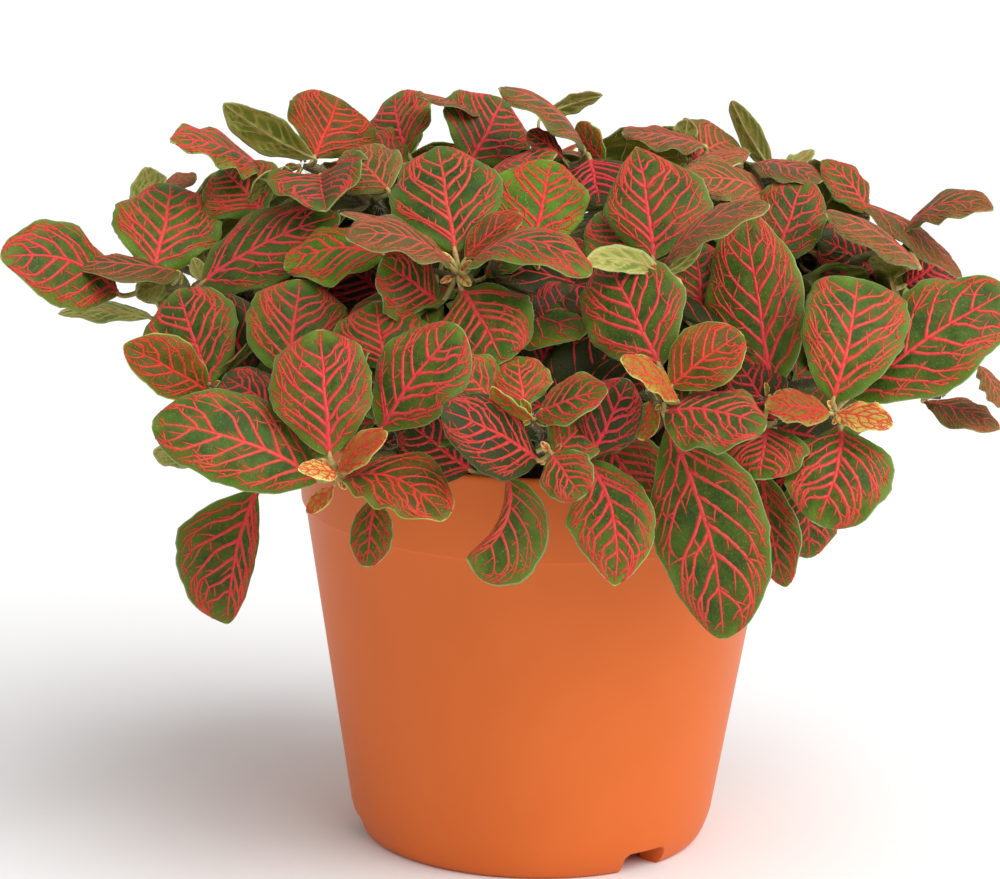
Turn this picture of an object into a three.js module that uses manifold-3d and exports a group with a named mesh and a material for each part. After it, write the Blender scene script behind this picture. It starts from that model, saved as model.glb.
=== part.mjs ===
// Potted nerve plant: a mound of net-veined leaves on thin stems, rooted in the soil of a 12 cm nursery pot.
// Millimetres, +Z up. The origin is the middle of the pot's underside, on the surface that the pot stands on.
// The front is -Y, and +X is to the right of somebody who looks at the front.
import * as THREE from "three";
import { mergeVertices } from "three/addons/utils/BufferGeometryUtils.js";
import Module from "manifold-3d";

const wasm = await Module();
wasm.setup();

// Pot
const POT_HEIGHT = 106;
const LIP_RADIUS = 60;
const LIP_THICKNESS = 2.2;
const BAND_BOTTOM = 84.8;
const BAND_STEP = 0.8;
const WALL_TOP_RADIUS = 57.7;
const WALL_LOW_RADIUS = 45;
const WALL_LOW_HEIGHT = 7.5;
const WALL_THICKNESS = 1.6;
const FOOT_RADIUS = 41;
const FOOT_RING_WIDTH = 5;
const FLOOR_UNDERSIDE = 3;
const FLOOR_TOP = 5;
const STAND_RADIUS = 9;
const DRAIN_WIDTH = 12.3;
const DRAIN_HEIGHT = 5.3;
const DRAIN_CORNER = 2.2;
const DRAIN_DEPTH = [37, 52];
const DRAIN_ANGLES = [40, 160, -80];
const POT_SIDES = 40;

// Soil
const SOIL_EDGE_HEIGHT = 95.5;
const SOIL_TOP_HEIGHT = 97.5;
const SOIL_SIDES = 24;

// Stems and leaves
const STEM_FOOT_RADIUS = 1.7;
const STEM_TIP_RADIUS = 1.1;
const STEM_SIDES = 6;
const STEM_STEPS = 7;
const ROOTED_DEPTH = 8;
const LEAF_THICKNESS = 0.8;
const PETIOLE_HALF_WIDTH = 0.9;
const LEAF_TIP_HALF_WIDTH = 0.6;
const LEAF_STATIONS = [0, 0.12, 0.3, 0.52, 0.74, 0.91, 1];
const LEAF_ACROSS = [-1, -0.5, 0, 0.5, 1];
const OUTLINE_FULLNESS = 1.05;
const SEAT_GAP = 0.35;
const STALK_GAP = 0.23;
const SHORTEST_STALK = 1.6;
const STALK_KNEE = 0.45;
const SHOULDER_ALONG = 0.35;
const SHOULDER_DROP = 0.15;
const SHOULDER_LIFT = 6;

// The view from which the leaves were measured: a point of the view is given by its column and row in a
// picture of 1000 by 879, and a depth is how far it lies behind the pot's axis, so that minus is in front.
const VIEW_ELEVATION = 14.88;
const VIEW_ROLL = 1.26;
const VIEW_DISTANCE = 1500;
const VIEW_FOCAL = 6083.8;
const VIEW_CENTRE = [500, 439.5];
const VIEW_TARGET = new THREE.Vector3(-9.75, 0, 99.82);

const UP = new THREE.Vector3(0, 0, 1);
const radians = THREE.MathUtils.degToRad;
const towardsView = new THREE.Vector3(0, -Math.cos(radians(VIEW_ELEVATION)), Math.sin(radians(VIEW_ELEVATION)));
const viewRight = new THREE.Vector3(1, 0, 0);
const viewUp = new THREE.Vector3(0, Math.sin(radians(VIEW_ELEVATION)), Math.cos(radians(VIEW_ELEVATION)));
const eye = VIEW_TARGET.clone().addScaledVector(towardsView, VIEW_DISTANCE);

// The point seen at a column and row, at a depth.
function seenAt([column, row, depth]) {
  const across = column - VIEW_CENTRE[0];
  const down = row - VIEW_CENTRE[1];
  const turn = radians(VIEW_ROLL);
  const u = Math.cos(turn) * across + Math.sin(turn) * down;
  const v = Math.cos(turn) * down - Math.sin(turn) * across;
  const ray = towardsView.clone().negate()
    .addScaledVector(viewRight, u / VIEW_FOCAL)
    .addScaledVector(viewUp, -v / VIEW_FOCAL);
  return eye.clone().addScaledVector(ray, (depth - eye.y) / ray.y);
}

// A closed geometry whose shared corners are merged.
function welded(geometry) {
  geometry.deleteAttribute("normal");
  geometry.deleteAttribute("uv");
  return mergeVertices(geometry, 1e-4);
}

function solidOf(geometry) {
  const closed = welded(geometry);
  return new wasm.Manifold(new wasm.Mesh({
    numProp: 3,
    vertProperties: new Float32Array(closed.attributes.position.array),
    triVerts: new Uint32Array(closed.index.array),
  }));
}

function geometryOf(solid) {
  const mesh = solid.getMesh();
  const geometry = new THREE.BufferGeometry();
  geometry.setAttribute("position", new THREE.BufferAttribute(new Float32Array(mesh.vertProperties), 3));
  geometry.setIndex(new THREE.BufferAttribute(new Uint32Array(mesh.triVerts), 1));
  return geometry;
}

// A surface of revolution about Z, from [radius, height] points that run outwards below and inwards above.
function turned(profile, sides) {
  const points = profile.map(([radius, height]) => new THREE.Vector2(radius, height));
  return new THREE.LatheGeometry(points, sides).rotateX(Math.PI / 2);
}

// A closed skin over rings of equal point count, with flat ends.
function lofted(rings) {
  const count = rings[0].length;
  const index = [];
  for (let row = 0; row + 1 < rings.length; row += 1) {
    for (let i = 0; i < count; i += 1) {
      const a = row * count + i;
      const b = row * count + (i + 1) % count;
      index.push(a, b, b + count, a, b + count, a + count);
    }
  }
  const last = (rings.length - 1) * count;
  for (let i = 1; i + 1 < count; i += 1) {
    index.push(0, i + 1, i);
    index.push(last, last + i, last + i + 1);
  }
  const geometry = new THREE.BufferGeometry().setFromPoints(rings.flat());
  geometry.setIndex(index);
  return geometry;
}

function wallRadius(height) {
  const rise = (height - WALL_LOW_HEIGHT) / (BAND_BOTTOM - WALL_LOW_HEIGHT);
  return WALL_LOW_RADIUS + rise * (WALL_TOP_RADIUS - WALL_LOW_RADIUS);
}

// The pot: a tapered wall with a rim band, a raised floor, a foot ring and a small stand in the middle.
function pot() {
  const corner = new THREE.QuadraticBezierCurve(
    new THREE.Vector2(FOOT_RADIUS, 0),
    new THREE.Vector2(wallRadius(0) - 0.6, 0.6),
    new THREE.Vector2(WALL_LOW_RADIUS, WALL_LOW_HEIGHT),
  ).getPoints(4).map((point) => [point.x, point.y]);
  const profile = [
    [0, 0],
    [STAND_RADIUS, 0],
    [STAND_RADIUS, FLOOR_UNDERSIDE],
    [FOOT_RADIUS - FOOT_RING_WIDTH, FLOOR_UNDERSIDE],
    [FOOT_RADIUS - FOOT_RING_WIDTH, 0],
    ...corner,
    [WALL_TOP_RADIUS, BAND_BOTTOM],
    [WALL_TOP_RADIUS + BAND_STEP, BAND_BOTTOM],
    [LIP_RADIUS - 0.2, POT_HEIGHT - 1.8],
    [LIP_RADIUS, POT_HEIGHT - 0.8],
    [LIP_RADIUS - 0.6, POT_HEIGHT],
    [LIP_RADIUS - LIP_THICKNESS + 0.4, POT_HEIGHT],
    [LIP_RADIUS - LIP_THICKNESS, POT_HEIGHT - 1],
    [WALL_TOP_RADIUS - WALL_THICKNESS, BAND_BOTTOM],
    [WALL_LOW_RADIUS - WALL_THICKNESS, WALL_LOW_HEIGHT],
    [wallRadius(FLOOR_TOP) - WALL_THICKNESS - 0.6, FLOOR_TOP],
    [0, FLOOR_TOP],
  ];
  let body = solidOf(turned(profile, POT_SIDES));
  for (const angle of DRAIN_ANGLES) {
    body = body.subtract(solidOf(drain(angle)));
  }
  return geometryOf(body);
}

// A slot with round upper corners that runs outwards through the foot ring, at an angle from the front
// towards the right.
function drain(angle) {
  const half = DRAIN_WIDTH / 2;
  const outline = new THREE.Shape();
  outline.moveTo(-half, -1);
  outline.lineTo(half, -1);
  outline.lineTo(half, DRAIN_HEIGHT - DRAIN_CORNER);
  outline.quadraticCurveTo(half, DRAIN_HEIGHT, half - DRAIN_CORNER, DRAIN_HEIGHT);
  outline.lineTo(DRAIN_CORNER - half, DRAIN_HEIGHT);
  outline.quadraticCurveTo(-half, DRAIN_HEIGHT, -half, DRAIN_HEIGHT - DRAIN_CORNER);
  outline.closePath();
  return new THREE.ExtrudeGeometry(outline, {
    depth: DRAIN_DEPTH[1] - DRAIN_DEPTH[0],
    bevelEnabled: false,
    curveSegments: 3,
  }).rotateX(Math.PI / 2).translate(0, -DRAIN_DEPTH[0], 0).rotateZ(radians(angle));
}

function soilHeight(x, y) {
  const edge = wallRadius(SOIL_EDGE_HEIGHT);
  return SOIL_TOP_HEIGHT - (SOIL_TOP_HEIGHT - SOIL_EDGE_HEIGHT) * (x * x + y * y) / (edge * edge);
}

// The soil: one plug that fills the pot, with a socket for each stem.
function soil(stems) {
  const inner = (height) => wallRadius(height) - WALL_THICKNESS - SEAT_GAP - 0.3;
  const middle = inner(SOIL_EDGE_HEIGHT) / 2;
  const profile = [
    [0, FLOOR_TOP + SEAT_GAP],
    [inner(FLOOR_TOP) - 0.6, FLOOR_TOP + SEAT_GAP],
    [inner(WALL_LOW_HEIGHT + 1), WALL_LOW_HEIGHT + 1],
    [inner(BAND_BOTTOM), BAND_BOTTOM],
    [inner(BAND_BOTTOM), SOIL_EDGE_HEIGHT],
    [middle, soilHeight(middle, 0)],
    [0, SOIL_TOP_HEIGHT],
  ];
  let body = solidOf(turned(profile, SOIL_SIDES));
  for (const { foot } of stems) {
    const socket = new THREE.CylinderGeometry(
      STEM_FOOT_RADIUS + SEAT_GAP,
      STEM_FOOT_RADIUS + SEAT_GAP,
      2 * ROOTED_DEPTH,
      STEM_SIDES,
    ).rotateX(Math.PI / 2).translate(foot.x, foot.y, foot.z);
    body = body.subtract(solidOf(socket));
  }
  return geometryOf(body);
}

// A stem stands straight in its socket, then bends over in one arc to its tip.
function makeStem(name, [x, y], tip, lift = SHOULDER_LIFT) {
  const foot = new THREE.Vector3(x, y, soilHeight(x, y));
  const shoulder = foot.clone().lerp(tip, SHOULDER_ALONG);
  shoulder.z = tip.z - SHOULDER_DROP * (tip.z - foot.z) + lift;
  const arc = new THREE.QuadraticBezierCurve3(foot, shoulder, tip);
  const lean = new THREE.Vector3(tip.x - x, tip.y - y, 0).normalize();
  return { name, foot, tip, arc, across: UP.clone().cross(lean).normalize() };
}

function stemRadius(t) {
  return THREE.MathUtils.lerp(STEM_FOOT_RADIUS, STEM_TIP_RADIUS, t);
}

function stemGeometry({ foot, arc, across }) {
  const ring = (centre, tangent, radius) => {
    const out = across.clone().cross(tangent).normalize();
    return Array.from({ length: STEM_SIDES }, (_, side) => {
      const angle = (side + 0.5) * 2 * Math.PI / STEM_SIDES;
      return centre.clone()
        .addScaledVector(out, radius * Math.cos(angle))
        .addScaledVector(across, radius * Math.sin(angle));
    });
  };
  const root = foot.clone().addScaledVector(UP, SEAT_GAP - ROOTED_DEPTH);
  const rings = [ring(root, UP, STEM_FOOT_RADIUS)];
  for (let step = 0; step <= STEM_STEPS; step += 1) {
    const t = step / STEM_STEPS;
    const tangent = step === 0 ? UP : arc.getTangent(t);
    rings.push(ring(arc.getPoint(t), tangent, stemRadius(t)));
  }
  return lofted(rings);
}

// Half the blade's width, as a share of its widest, at v from base to tip; belly is where it is widest.
function outline(v, belly) {
  const rise = OUTLINE_FULLNESS * belly;
  const fall = OUTLINE_FULLNESS * (1 - belly);
  return v ** rise * (1 - v) ** fall / (belly ** rise * (1 - belly) ** fall);
}

// Where a leaf's stalk leaves its stem: the nearest point of the stem, moved out to its skin.
function stalkStart(stem, base) {
  const nearest = { gap: Infinity };
  for (let step = 4; step <= 30; step += 1) {
    const point = stem.arc.getPoint(step / 30);
    const gap = point.distanceTo(base);
    if (gap < nearest.gap) {
      Object.assign(nearest, { gap, point, radius: stemRadius(step / 30) });
    }
  }
  const way = base.clone().sub(nearest.point).normalize();
  return nearest.point.clone().addScaledVector(way, nearest.radius + STALK_GAP);
}

// A leaf is a thin closed skin: a stalk, then a blade whose midrib is an arc of `curl` degrees from base to
// tip. `roll` turns its face about the line from base to tip, clockwise of that line for the viewer. `fold`
// lifts both halves at the midrib, `camber` bends them back down towards the edges, `skew` takes camber from
// the clockwise half and gives it to the other, and `bend` moves the middle of the midrib clockwise.
function leafGeometry(stem, base, tip, width, options) {
  const { roll = 0, curl = 40, fold = 8, camber = 30, bend = 0, skew = 0, belly = 0.48 } = options;
  const face = options.face ?? towardsView;
  const chord = tip.clone().sub(base);
  const reach = chord.length();
  const ahead = chord.clone().normalize();
  const out = face.clone().addScaledVector(ahead, -face.dot(ahead)).normalize();
  out.applyAxisAngle(ahead, radians(roll));
  const side = ahead.clone().cross(out);
  const turn = radians(curl);
  const length = reach * (turn / 2) / Math.sin(turn / 2);
  const arcRadius = length / turn;
  const lift = radians(fold);

  const ring = (centre, sideways, normal, halfWidth) => {
    const top = LEAF_ACROSS.map((u) => {
      const droop = radians(camber - skew * Math.sign(u));
      const across = Math.sign(u) * (Math.sin(lift) - Math.sin(lift - droop * Math.abs(u))) / droop;
      const height = (Math.cos(lift - droop * Math.abs(u)) - Math.cos(lift)) / droop;
      return centre.clone()
        .addScaledVector(sideways, halfWidth * across)
        .addScaledVector(normal, halfWidth * height + LEAF_THICKNESS / 2);
    });
    const under = top.map((point) => point.clone().addScaledVector(normal, -LEAF_THICKNESS)).reverse();
    return [...top, ...under];
  };

  const rings = [];
  const startTangent = ahead.clone().multiplyScalar(Math.cos(turn / 2)).addScaledVector(out, Math.sin(turn / 2));
  const start = stalkStart(stem, base);
  const stalk = start.distanceTo(base);
  const bladeBase = stalk < SHORTEST_STALK ? start : base;
  if (stalk >= SHORTEST_STALK) {
    const knee = base.clone().addScaledVector(startTangent, -STALK_KNEE * stalk);
    const path = new THREE.QuadraticBezierCurve3(start, knee, base);
    for (const t of [0, 0.5]) {
      const tangent = path.getTangent(t);
      const sideways = side.clone().addScaledVector(tangent, -side.dot(tangent)).normalize();
      rings.push(ring(path.getPoint(t), sideways, sideways.clone().cross(tangent), PETIOLE_HALF_WIDTH));
    }
  }
  for (const v of LEAF_STATIONS) {
    const slope = turn / 2 - turn * v;
    const along = arcRadius * (Math.sin(turn / 2) - Math.sin(slope));
    const rise = arcRadius * (Math.cos(slope) - Math.cos(turn / 2));
    const tangent = ahead.clone().multiplyScalar(Math.cos(slope)).addScaledVector(out, Math.sin(slope));
    const normal = ahead.clone().multiplyScalar(-Math.sin(slope)).addScaledVector(out, Math.cos(slope));
    const yaw = Math.atan2(bend * 4 * (1 - 2 * v), length);
    const sideways = side.clone().multiplyScalar(Math.cos(yaw)).addScaledVector(tangent, -Math.sin(yaw));
    const centre = bladeBase.clone()
      .addScaledVector(ahead, along)
      .addScaledVector(out, rise)
      .addScaledVector(side, bend * 4 * v * (1 - v));
    const least = v === 1 ? LEAF_TIP_HALF_WIDTH : PETIOLE_HALF_WIDTH;
    rings.push(ring(centre, sideways, normal, Math.max(width / 2 * outline(v, belly), least)));
  }
  return lofted(rings);
}

// Stems: where each leaves the soil (x, y) and where its tip is seen.
const stems = new Map([
  makeStem("far_left", [-36, 4], seenAt([150, 288, -3])),
  makeStem("left", [-30, -20], seenAt([212, 388, -41]), 0),
  makeStem("upper_left", [-20, 16], seenAt([303, 166, 17])),
  makeStem("top", [-3, 14], seenAt([462, 162, 17])),
  makeStem("middle", [-12, -12], seenAt([458, 274, -42])),
  makeStem("middle_right", [2, -8], seenAt([533, 258, -27])),
  makeStem("inner_right", [15, -10], seenAt([653, 268, -36])),
  makeStem("upper_right", [25, 10], seenAt([772, 206, 6])),
  makeStem("far_right", [37, 0], seenAt([910, 250, 0])),
  makeStem("right", [34, -20], seenAt([838, 415, -57])),
  makeStem("lower_right", [22, -28], seenAt([768, 400, -48])),
  makeStem("front_right", [12, -38], seenAt([664, 402, -71])),
  makeStem("front", [-2, -42], seenAt([553, 455, -76])),
  makeStem("front_left", [-18, -36], seenAt([338, 472, -77])),
  makeStem("back_left", [-24, 34], new THREE.Vector3(-58, 58, 134)),
  makeStem("back", [2, 38], new THREE.Vector3(4, 70, 140)),
  makeStem("back_right", [26, 32], new THREE.Vector3(60, 54, 136)),
].map((stem) => [stem.name, stem]));

const leaves = [];

// A leaf that was measured in the view: base and tip as [column, row, depth], and its real width.
function leaf(stemName, number, base, tip, width, options = {}) {
  leaves.push({
    name: `leaf_${stemName}_${number}`,
    geometry: leafGeometry(stems.get(stemName), seenAt(base), seenAt(tip), width, options),
  });
}

leaf("far_left", 1, [118, 294, -8], [0, 258, -26], 24, { roll: 30, curl: 50, bend: 2.5 });
leaf("far_left", 2, [152, 272, -6], [170, 184, 20], 27.5, { curl: 45, bend: 1 });
leaf("far_left", 3, [203, 283, -14], [340, 216, -12], 26, { roll: -42, curl: 35, belly: 0.42 });
leaf("left", 1, [207, 380, -42], [175, 286, -22], 25, { roll: -8, curl: 45, bend: 0.5 });
leaf("left", 2, [257, 490, -50], [228, 624, -56], 20, { curl: 30, bend: 1.5 });
leaf("upper_left", 1, [262, 170, 20], [170, 142, 4], 24, { roll: 66, curl: 35 });
leaf("upper_left", 2, [314, 158, 20], [338, 98, 38], 24, { roll: 8, curl: 45, belly: 0.6 });
leaf("top", 1, [472, 160, 16], [503, 97, 36], 25, { roll: 10, curl: 45 });
leaf("top", 2, [408, 154, 34], [396, 94, 50], 22, { roll: -30 });
leaf("middle", 1, [455, 252, -40], [438, 147, -14], 27.5);
leaf("middle", 2, [450, 266, -46], [347, 240, -58], 19, { roll: 62, curl: 60, fold: 12, bend: 1.5 });
leaf("middle", 3, [462, 290, -46], [503, 363, -62], 26, { curl: 50, bend: -0.5 });
leaf("middle_right", 1, [533, 247, -30], [551, 161, -6], 24.5, { curl: 45 });
leaf("inner_right", 1, [653, 260, -38], [636, 147, -18], 27, { curl: 22, bend: 0.5, belly: 0.42 });
leaf("upper_right", 1, [776, 262, -10], [803, 179, 4], 18.5, { roll: -5 });
leaf("far_right", 1, [917, 266, -8], [826, 216, -16], 18, { roll: 68, camber: 45 });
leaf("far_right", 2, [905, 232, 2], [993, 211, -6], 16, { roll: -62, curl: 70, bend: -2.5 });
leaf("right", 1, [833, 400, -60], [857, 279, -42], 25.5, { curl: 75, bend: 0.5, belly: 0.64 });
leaf("right", 2, [850, 396, -52], [1010, 290, -42], 27, { roll: -18 });
leaf("right", 3, [840, 430, -60], [816, 524, -76], 26, { roll: 10, curl: 70, bend: -2 });
leaf("lower_right", 1, [772, 386, -46], [745, 214, -26], 24, { roll: -5, belly: 0.44 });
leaf("lower_right", 2, [762, 472, -56], [786, 587, -60], 15, { roll: 25, curl: 30 });
leaf("front_right", 1, [660, 366, -66], [607, 257, -44], 25.5, { roll: -5, curl: 50 });
leaf("front_right", 2, [666, 412, -74], [766, 428, -84], 24, { roll: -48, curl: 45, camber: 35 });
leaf("front_right", 3, [668, 428, -68], [723, 639, -78], 28, { roll: 3, curl: 30, bend: -3 });
leaf("front", 1, [537, 460, -76], [441, 410, -90], 20.5, { roll: 30, curl: 35 });
leaf("front", 2, [506, 476, -70], [467, 561, -80], 18, { curl: 35, camber: 35, bend: -5, belly: 0.62, skew: -30 });
leaf("front", 3, [588, 460, -70], [614, 586, -84], 21, { curl: 30, bend: -3 });
leaf("front_left", 1, [330, 456, -78], [320, 330, -62], 25, { belly: 0.56 });
leaf("front_left", 2, [318, 480, -74], [152, 424, -76], 25, { roll: 25, camber: 35, bend: 1.5 });
leaf("front_left", 3, [381, 430, -70], [459, 326, -64], 23, { roll: -22, belly: 0.52 });
leaf("front_left", 4, [343, 480, -80], [444, 521, -92], 23, { roll: -48, curl: 75, fold: 12, bend: -2 });

// At the back, three leaves stand out around each stem's tip and face away from the middle of the mound.
const MOUND_CENTRE = new THREE.Vector3(0, 0, 95);
const BACK_LEAF_LENGTH = 37;
const BACK_LEAF_WIDTH = 25;
const BACK_LEAF_TURNS = [20, 140, 260];
for (const stemName of ["back_left", "back", "back_right"]) {
  const stem = stems.get(stemName);
  const outwards = stem.tip.clone().sub(MOUND_CENTRE).normalize();
  const level = UP.clone().cross(outwards).normalize();
  const upwards = outwards.clone().cross(level);
  BACK_LEAF_TURNS.forEach((turn, i) => {
    const way = level.clone().multiplyScalar(Math.cos(radians(turn)))
      .addScaledVector(upwards, Math.sin(radians(turn)));
    const base = stem.tip.clone().addScaledVector(way, 4.5).addScaledVector(outwards, 1);
    const tip = base.clone().addScaledVector(way, BACK_LEAF_LENGTH).addScaledVector(outwards, 5);
    leaves.push({
      name: `leaf_${stemName}_${i + 1}`,
      geometry: leafGeometry(stem, base, tip, BACK_LEAF_WIDTH, { face: outwards }),
    });
  });
}

const plastic = new THREE.MeshStandardMaterial({ color: 0xcf6534, roughness: 0.55, metalness: 0 });
const peat = new THREE.MeshStandardMaterial({ color: 0x2c1d14, roughness: 1, metalness: 0 });
const stemGreen = new THREE.MeshStandardMaterial({ color: 0x7c7a45, roughness: 0.7, metalness: 0 });
const leafGreen = new THREE.MeshStandardMaterial({ color: 0x41662e, roughness: 0.5, metalness: 0 });

const plant = new THREE.Group();

function add(name, geometry, material) {
  const mesh = new THREE.Mesh(geometry, material);
  mesh.name = name;
  plant.add(mesh);
}

add("pot", pot(), plastic);
add("soil", soil([...stems.values()]), peat);
for (const stem of stems.values()) {
  add(`stem_${stem.name}`, stemGeometry(stem), stemGreen);
}
for (const { name, geometry } of leaves) {
  add(name, geometry, leafGreen);
}

export default plant;
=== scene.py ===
"""Looks of a potted nerve plant: moulded pot, soil, hairy stems and net-veined leaves, on a pale floor.

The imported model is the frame: each piece that replaces a node stands where the node is. Shapes are worked
out in millimetres, +Z up, with the front of the plant towards -Y, and are put into meshes in metres.
"""

import math

import bpy
import numpy as np
from mathutils import Matrix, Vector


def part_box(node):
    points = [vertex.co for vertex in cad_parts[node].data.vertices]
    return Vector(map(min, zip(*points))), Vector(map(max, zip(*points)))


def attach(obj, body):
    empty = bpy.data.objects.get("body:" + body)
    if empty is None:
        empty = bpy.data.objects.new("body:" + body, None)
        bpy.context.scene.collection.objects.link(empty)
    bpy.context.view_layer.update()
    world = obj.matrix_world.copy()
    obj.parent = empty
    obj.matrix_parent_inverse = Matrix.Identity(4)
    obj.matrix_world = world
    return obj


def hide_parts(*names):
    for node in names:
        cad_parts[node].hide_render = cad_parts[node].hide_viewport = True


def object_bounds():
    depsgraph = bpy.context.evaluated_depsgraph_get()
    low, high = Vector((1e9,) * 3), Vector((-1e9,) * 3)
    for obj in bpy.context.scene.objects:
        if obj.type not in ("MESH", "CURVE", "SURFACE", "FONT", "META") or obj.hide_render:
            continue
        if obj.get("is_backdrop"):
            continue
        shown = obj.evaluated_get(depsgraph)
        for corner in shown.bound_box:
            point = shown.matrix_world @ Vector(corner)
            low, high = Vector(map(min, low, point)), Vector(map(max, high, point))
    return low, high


bl_info = {
    "name": "Potted nerve plant",
    "version": (1, 0, 0),
    "blender": (4, 5, 0),
    "location": "3D View > Sidebar > Nerve plant",
    "description": "Builds a potted nerve plant around its packed frame",
    "category": "Object",
}

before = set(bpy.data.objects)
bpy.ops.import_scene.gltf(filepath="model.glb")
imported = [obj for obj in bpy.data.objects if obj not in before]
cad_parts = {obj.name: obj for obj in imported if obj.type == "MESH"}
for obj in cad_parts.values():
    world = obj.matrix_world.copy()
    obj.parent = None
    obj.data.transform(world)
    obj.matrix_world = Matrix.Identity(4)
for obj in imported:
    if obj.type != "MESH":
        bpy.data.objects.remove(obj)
CAD_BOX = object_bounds()
MM = 0.001
POT_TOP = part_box("pot")[1]

# The view in which the leaves were measured: columns and rows of a picture of 1000 by 879, and a depth that
# says how far a point lies behind the pot's axis, so that minus is in front
PICTURE = (1000, 879)
VIEW_ELEVATION = math.radians(14.88)
VIEW_ROLL = math.radians(1.26)
VIEW_DISTANCE = 1500.0
VIEW_FOCAL = 6083.8
VIEW_TARGET = np.array([-9.75, 0.0, 99.82])
UP = np.array([0.0, 0.0, 1.0])
VIEW_BACK = np.array([0.0, -math.cos(VIEW_ELEVATION), math.sin(VIEW_ELEVATION)])
VIEW_RIGHT = np.array([1.0, 0.0, 0.0])
VIEW_UP = np.array([0.0, math.sin(VIEW_ELEVATION), math.cos(VIEW_ELEVATION)])
EYE = VIEW_TARGET + VIEW_DISTANCE * VIEW_BACK


def seen_at(column, row, depth):
    """The point in millimetres that is seen at a column and row: the view's ray is followed to that depth."""
    across, down = column - PICTURE[0] / 2, row - PICTURE[1] / 2
    u = math.cos(VIEW_ROLL) * across + math.sin(VIEW_ROLL) * down
    v = math.cos(VIEW_ROLL) * down - math.sin(VIEW_ROLL) * across
    ray = (VIEW_RIGHT * u - VIEW_UP * v) / VIEW_FOCAL - VIEW_BACK
    return EYE + ray * (depth - EYE[1]) / ray[1]


def seen_from_eye(points):
    """Columns and rows at which points in millimetres are seen."""
    away = points - EYE
    reach = away @ -VIEW_BACK
    u = away @ VIEW_RIGHT / reach * VIEW_FOCAL
    v = -(away @ VIEW_UP) / reach * VIEW_FOCAL
    column = math.cos(VIEW_ROLL) * u - math.sin(VIEW_ROLL) * v + PICTURE[0] / 2
    row = math.sin(VIEW_ROLL) * u + math.cos(VIEW_ROLL) * v + PICTURE[1] / 2
    return column, row


def unit(vectors):
    """Vectors of length one."""
    return vectors / np.linalg.norm(vectors, axis=-1, keepdims=True)


def turned(vector, axis, angle):
    """A vector turned about a unit axis, by the sum of its parts along, across and beside the axis."""
    beside = np.cross(axis, vector)
    along = axis * (axis @ vector)
    return vector * math.cos(angle) + beside * math.sin(angle) + along * (1 - math.cos(angle))


def level_frame(ahead):
    """Two unit vectors across a direction: a level one, and one that points as far up as it can."""
    level = unit(np.cross(UP, ahead))
    return level, np.cross(ahead, level)


def swung(first, second, degrees):
    """The unit vector at an angle from the first of two vectors towards the second."""
    turn = math.radians(degrees)
    return first * math.cos(turn) + second * math.sin(turn)


def smooth_step(values, low, high):
    """Rises from 0 at low to 1 at high, level at both ends."""
    t = np.clip((values - low) / (high - low), 0, 1)
    return t * t * (3 - 2 * t)


def bent(start, corner, end, steps):
    """Points of a quadratic curve from start to end, drawn towards a corner."""
    t = np.linspace(0, 1, steps)[:, None]
    start, corner, end = (np.array(p, float) for p in (start, corner, end))
    return (1 - t) ** 2 * start + 2 * t * (1 - t) * corner + t ** 2 * end


# Pot and soil, in millimetres
POT_HEIGHT = POT_TOP.z / MM
LIP_RADIUS = POT_TOP.x / MM
LIP_THICKNESS = 2.2
BAND_BOTTOM = 84.8
BAND_STEP = 0.8
WALL_TOP_RADIUS = 57.7
WALL_LOW_RADIUS = 45.0
WALL_LOW_HEIGHT = 7.5
WALL_THICKNESS = 1.6
FOOT_RADIUS = 41.0
FOOT_RING_WIDTH = 5.0
FLOOR_UNDERSIDE = 3.0
FLOOR_TOP = 5.0
STAND_RADIUS = 9.0
DRAIN_WIDTH = 12.3
DRAIN_HEIGHT = 5.3
DRAIN_CORNER = 2.2
DRAIN_ANGLES = (40, 160, -80)
FOOT_POINTS = 24
SOIL_EDGE_HEIGHT = 95.5
SOIL_TOP_HEIGHT = 97.5
SOIL_BOTTOM = 5.6
SOIL_SIDES = 168
SOIL_RINGS = 52
SOIL_WAVES = (60, 16.0, 2.0)
CRUMB_DEPTH = 1.0
CRUMB_SIZES, CRUMB_SQUASH = (0.9, 2.4), 0.55
PERLITE_SIZES, PERLITE_SQUASH = (0.8, 1.9), 0.75
SEAT_GAP = 0.35

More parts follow.
